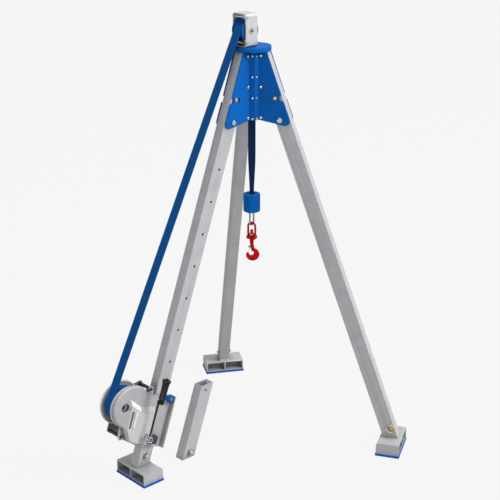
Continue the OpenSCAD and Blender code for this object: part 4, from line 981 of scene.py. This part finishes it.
def paint_light_on_cover(mesh):
    """Painted light and shade on the cover: a darker copy of the metal in the groove as painted shade,
    lighter copies on the box's face as painted light, and the lightest on its rib and sloping roof as a
    painted highlight.
    """
    for name in ("cast_grey", "cast_painted_light", "cast_painted_highlight", "cast_painted_shade"):
        mesh.materials.append(MATS[name])
    for poly in mesh.polygons:
        at, normal = poly.center, poly.normal
        on_roof = at.z > ROOF_UP - ROOF_DROP - 2 and normal.z > 0.3 and at.y > COVER_T + 0.1
        on_rib = at.y > BOX_T + 2 and abs(at.x - RIB_AT[0]) < 8 and at.z > CRANK_UP + 30
        if on_rib or (on_roof and normal.x < -0.1):
            poly.material_index = 2
        elif at.y > BOX_T - 0.1 and normal.y > 0.5:
            poly.material_index = 1
        elif BOX_T - WALL + 0.1 < at.y < BOX_T - 0.2 and abs(at.x - GROOVE_AT[0]) < 7:
            poly.material_index = 3


def dish_section():
    """Half section of the round dish, with a rounded edge."""
    rim = [(0, PLATE_T), (COVER_R, PLATE_T)]
    for i in range(9):
        a = math.radians(90 * i / 8)
        rim.append((COVER_R - COVER_EDGE * (1 - math.cos(a)), COVER_T - COVER_EDGE * (1 - math.sin(a))))
    return rim + [(0, COVER_T)]


def cover_solids():
    """What is joined to the dish: the case's skirt and lip, box, rib, crank boss and lower bar."""
    box = prism(
        (COVER_T - 3, box_outline(-2, -4)), (COVER_T, box_outline(-2, 0)), (BOX_T, box_outline(7, ROOF_DROP))
    )
    round_edges(box, 2.6, 3, lambda edge: all(v.co.y < COVER_T + 0.1 for v in edge.verts))
    rib = prism(
        (BOX_T - 3, bar_outline(RIB_AT, 15, 84)), (BOX_T + 3, bar_outline(RIB_AT, 13, 81)),
        (BOX_T + 4, bar_outline(RIB_AT, 11, 79)),
    )
    boss_section = [
        (0, BOX_T - 6), (24, BOX_T - 6), (24, BOX_T + 1), (22, BOX_T + 3), (22, BOX_T + 14),
        (21, BOX_T + 16.2), (19, BOX_T + 17), (0, BOX_T + 17),
    ]
    return [
        prism((PLATE_T + 0.01, case_outline(2.5)), (COVER_T - 2, case_outline(3.5))),
        prism((PLATE_T + 0.02, case_outline(0)), (PLATE_T + 5, case_outline(0))),
        box, rib, turned_solid(CRANK_AT, boss_section, 64),
        prism((PLATE_T, LOWER_BAR), (COVER_T + 4, LOWER_BAR)),
    ]


def cover_hollows():
    """What is cut out of the cover: the space for the gears, two shaft holes and the groove."""
    inner, roof = COVER_T - WALL, BOX_T - WALL
    r = COVER_R - WALL - 1
    dish_hollow = [(0, PLATE_T - 1), (r, PLATE_T - 1), (r, inner - 4), (r - 4, inner), (0, inner)]
    hub_section = [
        (0, inner - 9), (20.5, inner - 9), (20.5, COVER_T - 1.4), (22, COVER_T + 0.01),
        (22, BOX_T + 9), (0, BOX_T + 9),
    ]
    return [
        turned_solid(COVER_AT, dish_hollow),
        prism((PLATE_T - 1.2, case_outline(7.5)), (inner - 0.2, case_outline(8.5))),
        bore(LAY_AT, 60.4, inner - 5, roof),
        bore(CRANK_AT, 25, inner - 3, roof - 0.3),
        turned_solid(HUB_HOLE_AT, hub_section, 48),
        bore(CRANK_AT, 8.1, BOX_T - 12, BOX_T + 30, 48),
        prism((BOX_T - 3.4, bar_outline(GROOVE_AT, 9, 80)), (BOX_T + 1, bar_outline(GROOVE_AT, 13, 84))),
    ]


def cast_cover():
    """The whole cover as one closed mesh."""
    cover = turned_solid(COVER_AT, dish_section(), 128)
    joined(cover, cover_solids(), "UNION")
    joined(cover, cover_hollows(), "DIFFERENCE")
    cover.data.materials.clear()
    paint_light_on_cover(cover.data)
    stand_on_leg(cover)
    cover.name = "cast_cover"
    cover.data.name = "cast_cover"
    for poly in cover.data.polygons:
        poly.use_smooth = True
    mark_sharp(cover, 32)
    shading = cover.modifiers.new("normals", "WEIGHTED_NORMAL")
    shading.keep_sharp = True
    return cover


piece = cast_cover()
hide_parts("gear_cover")
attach(piece, "leg_a")


# Drum with its beaded flanges; the one beside the gear case is a little smaller
FLANGE_T, BARREL_R = 9.5, 45.0


def flange_section(r, sign):
    """Section of one flange from its outer face to the barrel; sign is the side it is on."""
    face, inside = DRUM_SIDE, DRUM_SIDE - FLANGE_T
    rim = [
        (r - 16, face), (r - 13, face - 1), (r - 3, face), (r - 1.2, face - 0.9), (r - 0.4, face - 2.4),
        (r, inside + 4), (r, inside + 2.4), (r - 0.9, inside + 0.9), (r - 2.4, inside),
        (r - 9, inside), (r - 12, inside + 3), (BARREL_R + 4, inside + 3), (BARREL_R, inside),
    ]
    return [(radius, sign * t) for radius, t in rim]


def drum():
    """Barrel with both flanges and its shaft."""
    face = DRUM_SIDE
    profile = [(9, -face - 12.5), (10, -face - 11.5), (10, -face)]
    profile += flange_section(FLANGE_R, -1)
    profile += flange_section(FLANGE_R - 7, 1)[::-1]
    profile += [(10, face), (10, 53.5), (8, 55.4)]
    shape = Parts()
    shape.lathe(leg_point(DRUM_OUT, 0, DRUM_UP), LEG_SIDE, profile, 96)
    return shape.make("drum_flanges", "aluminium_bright")


piece = drum()
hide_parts("winch_drum")
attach(piece, "drum")


# Crank: bright hub with a black socket as painted shade, and a glossy grip with a flared cap
CRANK_T, CRANK_LEN, ROD_D = 104.5, 180.0, 10.0
CRANK_FACE = CRANK_T + ROD_D
GRIP_OFF, GRIP_LEN, GRIP_R = 17.0, 92.0, 16.2
GRIP_BASE = CRANK_UP + CRANK_LEN + 18.3
CRANK_HUB = leg_point(CRANK_OUT, 0, CRANK_UP)


def crank_hub_rings():
    """Collar behind the crank, bright rings round its eye, and the nut on the shaft's end."""
    face = CRANK_FACE
    hub = Parts()
    hub.lathe(CRANK_HUB, LEG_SIDE, [(8.2, 91.0), (13.4, 91.0), (14, 91.6), (14, 95.8), (8.2, 96.2)])
    hub.lathe(CRANK_HUB, LEG_SIDE, [
        (16.6, CRANK_T - 8.1), (17.5, CRANK_T - 7.2), (17.5, CRANK_T - 3), (17.1, CRANK_T - 2.4),
        (17.1, face - 4), (17.5, face - 3.4), (17.5, face - 0.8), (16.7, face + 0.2), (8.3, face + 0.2),
    ])
    hub.nut(CRANK_HUB, LEG_SIDE, 23, face + 0.3, face + 8, 8.3, 0.1)
    return hub.make("crank_hub_rings", "chrome", 35)


def crank_socket_painted_shade():
    """Socket in the end of the crank shaft, in black gloss as painted shade inside it."""
    face = CRANK_FACE
    section = [
        (8.2, face + 3.1), (8.2, face + 6.6), (7.4, face + 7), (3.4, face + 7), (3.2, face + 4.4),
    ]
    socket = Parts()
    socket.lathe(CRANK_HUB, LEG_SIDE, section)
    return socket.make("crank_socket_painted_shade", "black_gloss", 35)


def grip_section():
    """Section of the grip: a base ring, a waist with shallow ribs and a flared cap."""
    r, top = GRIP_R, GRIP_LEN
    section = [(5.2, 0), (r - 1, 0), (r + 0.6, 1.6), (r + 0.6, 5)]
    for i in range(17):
        u = i / 16
        rib = 0.35 * math.sin(u * math.pi * 8) if 0.06 < u < 0.94 else 0.0
        section.append((r + 0.3 - 1.5 * math.sin(u * math.pi) + rib, 6 + u * (top - 30)))
    return section + [
        (r + 1.2, top - 18), (r + 3.2, top - 13), (r + 3.7, top - 10), (r + 3.7, top - 3),
        (r + 2.4, top - 0.6), (r + 0.6, top), (8.4, top),
    ]


def grip_sleeve():
    """Turning sleeve of the crank's grip."""
    at = leg_point(CRANK_OUT, CRANK_T + ROD_D / 2 + GRIP_OFF, GRIP_BASE)
    grip = Parts()
    grip.lathe(at, LEG_UP, grip_section(), 48)
    return grip.make("grip_sleeve", "black_gloss", 30)


piece = crank_hub_rings()
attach(piece, "crank")
piece = crank_socket_painted_shade()
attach(piece, "crank")
piece = grip_sleeve()
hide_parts("crank_grip")
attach(piece, "grip")


# Lock pin of the winch bracket: brass plug in the blue knob
KNOB_OUT, KNOB_T, KNOB_UP = -45.6, 55.9, 404.0
PLUG_SECTION = [
    (7.6, KNOB_T - 4.2), (7.6, KNOB_T - 2.6), (6.8, KNOB_T - 1.4), (4.4, KNOB_T - 0.6),
    (3.4, KNOB_T - 0.6), (3.0, KNOB_T - 1.8),
]
plug = Parts()
plug.lathe(leg_point(KNOB_OUT, 0, KNOB_UP), LEG_SIDE, PLUG_SECTION)
piece = plug.make("knob_plug", "brass", 35)
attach(piece, "bracket_pin")


# Studio
BACKGROUND, FLOOR_SEEN, FLOOR_LIT = srgb(246, 246, 246), srgb(249, 249, 249), srgb(168, 168, 168)
WORLD_STRENGTH, FLOOR_SHARE = 0.22, 0.96
FLOOR_SIDE, FLOOR_Z = 60.0, -0.0005


def seen_share(tree):
    """1 for the rays of the camera, of gloss and of glass, 0 for the light that falls on things."""
    path = tree.nodes.new("ShaderNodeLightPath")
    total = path.outputs["Is Camera Ray"]
    for other in ("Is Glossy Ray", "Is Transmission Ray"):
        both = tree.nodes.new("ShaderNodeMath")
        both.operation = "MAXIMUM"
        tree.links.new(total, both.inputs[0])
        tree.links.new(path.outputs[other], both.inputs[1])
        total = both.outputs["Value"]
    return total


def world_light():
    """Even pale surroundings: what the camera, gloss and glass see is the photo's background."""
    world = bpy.data.worlds.new("studio")
    bpy.context.scene.world = world
    world.use_nodes = True
    tree = world.node_tree
    tree.nodes.clear()
    out = tree.nodes.new("ShaderNodeOutputWorld")
    seen = tree.nodes.new("ShaderNodeBackground")
    seen.inputs["Color"].default_value = BACKGROUND
    seen.inputs["Strength"].default_value = 1.0
    light = tree.nodes.new("ShaderNodeBackground")
    light.inputs["Color"].default_value = (1, 1, 1, 1)
    light.inputs["Strength"].default_value = WORLD_STRENGTH
    mix = tree.nodes.new("ShaderNodeMixShader")
    tree.links.new(seen_share(tree), mix.inputs["Fac"])
    tree.links.new(light.outputs["Background"], mix.inputs[1])
    tree.links.new(seen.outputs["Background"], mix.inputs[2])
    tree.links.new(mix.outputs["Shader"], out.inputs["Surface"])


world_light()


def floor_material():
    """Seen as the pale background, a little darker where the part keeps light off it."""
    mat = bpy.data.materials.new("floor")
    mat.use_nodes = True
    tree = mat.node_tree
    lit = tree.nodes["Principled BSDF"]
    lit.inputs["Base Color"].default_value = FLOOR_LIT
    lit.inputs["Roughness"].default_value = 0.9
    glow = tree.nodes.new("ShaderNodeEmission")
    glow.inputs["Color"].default_value = FLOOR_SEEN
    glow.inputs["Strength"].default_value = 1.0
    share = tree.nodes.new("ShaderNodeMath")
    share.operation = "MULTIPLY"
    share.inputs[1].default_value = FLOOR_SHARE
    tree.links.new(seen_share(tree), share.inputs[0])
    mix = tree.nodes.new("ShaderNodeMixShader")
    tree.links.new(share.outputs["Value"], mix.inputs["Fac"])
    tree.links.new(lit.outputs["BSDF"], mix.inputs[1])
    tree.links.new(glow.outputs["Emission"], mix.inputs[2])
    tree.links.new(mix.outputs["Shader"], tree.nodes["Material Output"].inputs["Surface"])
    return mat


def studio_floor():
    """Level square under the pads."""
    half = FLOOR_SIDE / 2
    corners = [(-half, -half, 0), (half, -half, 0), (half, half, 0), (-half, half, 0)]
    mesh = bpy.data.meshes.new("floor")
    mesh.from_pydata(corners, [], [(0, 1, 2, 3)])
    mesh.materials.append(floor_material())
    obj = bpy.data.objects.new("floor", mesh)
    obj.location = (0, 0, FLOOR_Z)
    bpy.context.scene.collection.objects.link(obj)
    return obj


floor = studio_floor()


def softbox(name, azimuth, elevation, distance, size, power):
    """Square area lamp that looks at the middle of the tripod."""
    target = Vector((0, 0, 1.0))
    a, e = math.radians(azimuth), math.radians(elevation)
    place = target + distance * Vector(
        (math.cos(a) * math.cos(e), math.sin(a) * math.cos(e), math.sin(e))
    )
    data = bpy.data.lights.new(name, "AREA")
    data.shape = "SQUARE"
    data.size = size
    data.energy = power
    obj = bpy.data.objects.new(name, data)
    obj.location = place
    obj.rotation_euler = (target - place).to_track_quat("-Z", "Y").to_euler()
    bpy.context.scene.collection.objects.link(obj)


softbox("key", 330, 33, 11.0, 4.5, 830)
softbox("fill", 238, 10, 11.0, 5.0, 250)
softbox("top", 300, 78, 9.0, 4.0, 290)


# Camera, fitted to the photo
CAMERA_AT = (-1210.7619, -5252.0148, 2860.9218)
CAMERA_YAW, CAMERA_PITCH, CAMERA_LENS = 12.8938, 19.5281, 85.86


def photo_camera():
    """Camera of the photo; its place is in millimetres from the tripod's own upright axis."""
    data = bpy.data.cameras.new("photo")
    data.lens = CAMERA_LENS
    data.sensor_width = 36.0
    data.clip_end = 100
    obj = bpy.data.objects.new("photo", data)
    obj.location = (Vector(CAMERA_AT) + SHIFT) * MM
    obj.rotation_euler = (math.pi / 2 - math.radians(CAMERA_PITCH), 0, -math.radians(CAMERA_YAW))
    bpy.context.scene.collection.objects.link(obj)
    bpy.context.scene.camera = obj


photo_camera()
bpy.context.scene.view_settings.view_transform = "Standard"
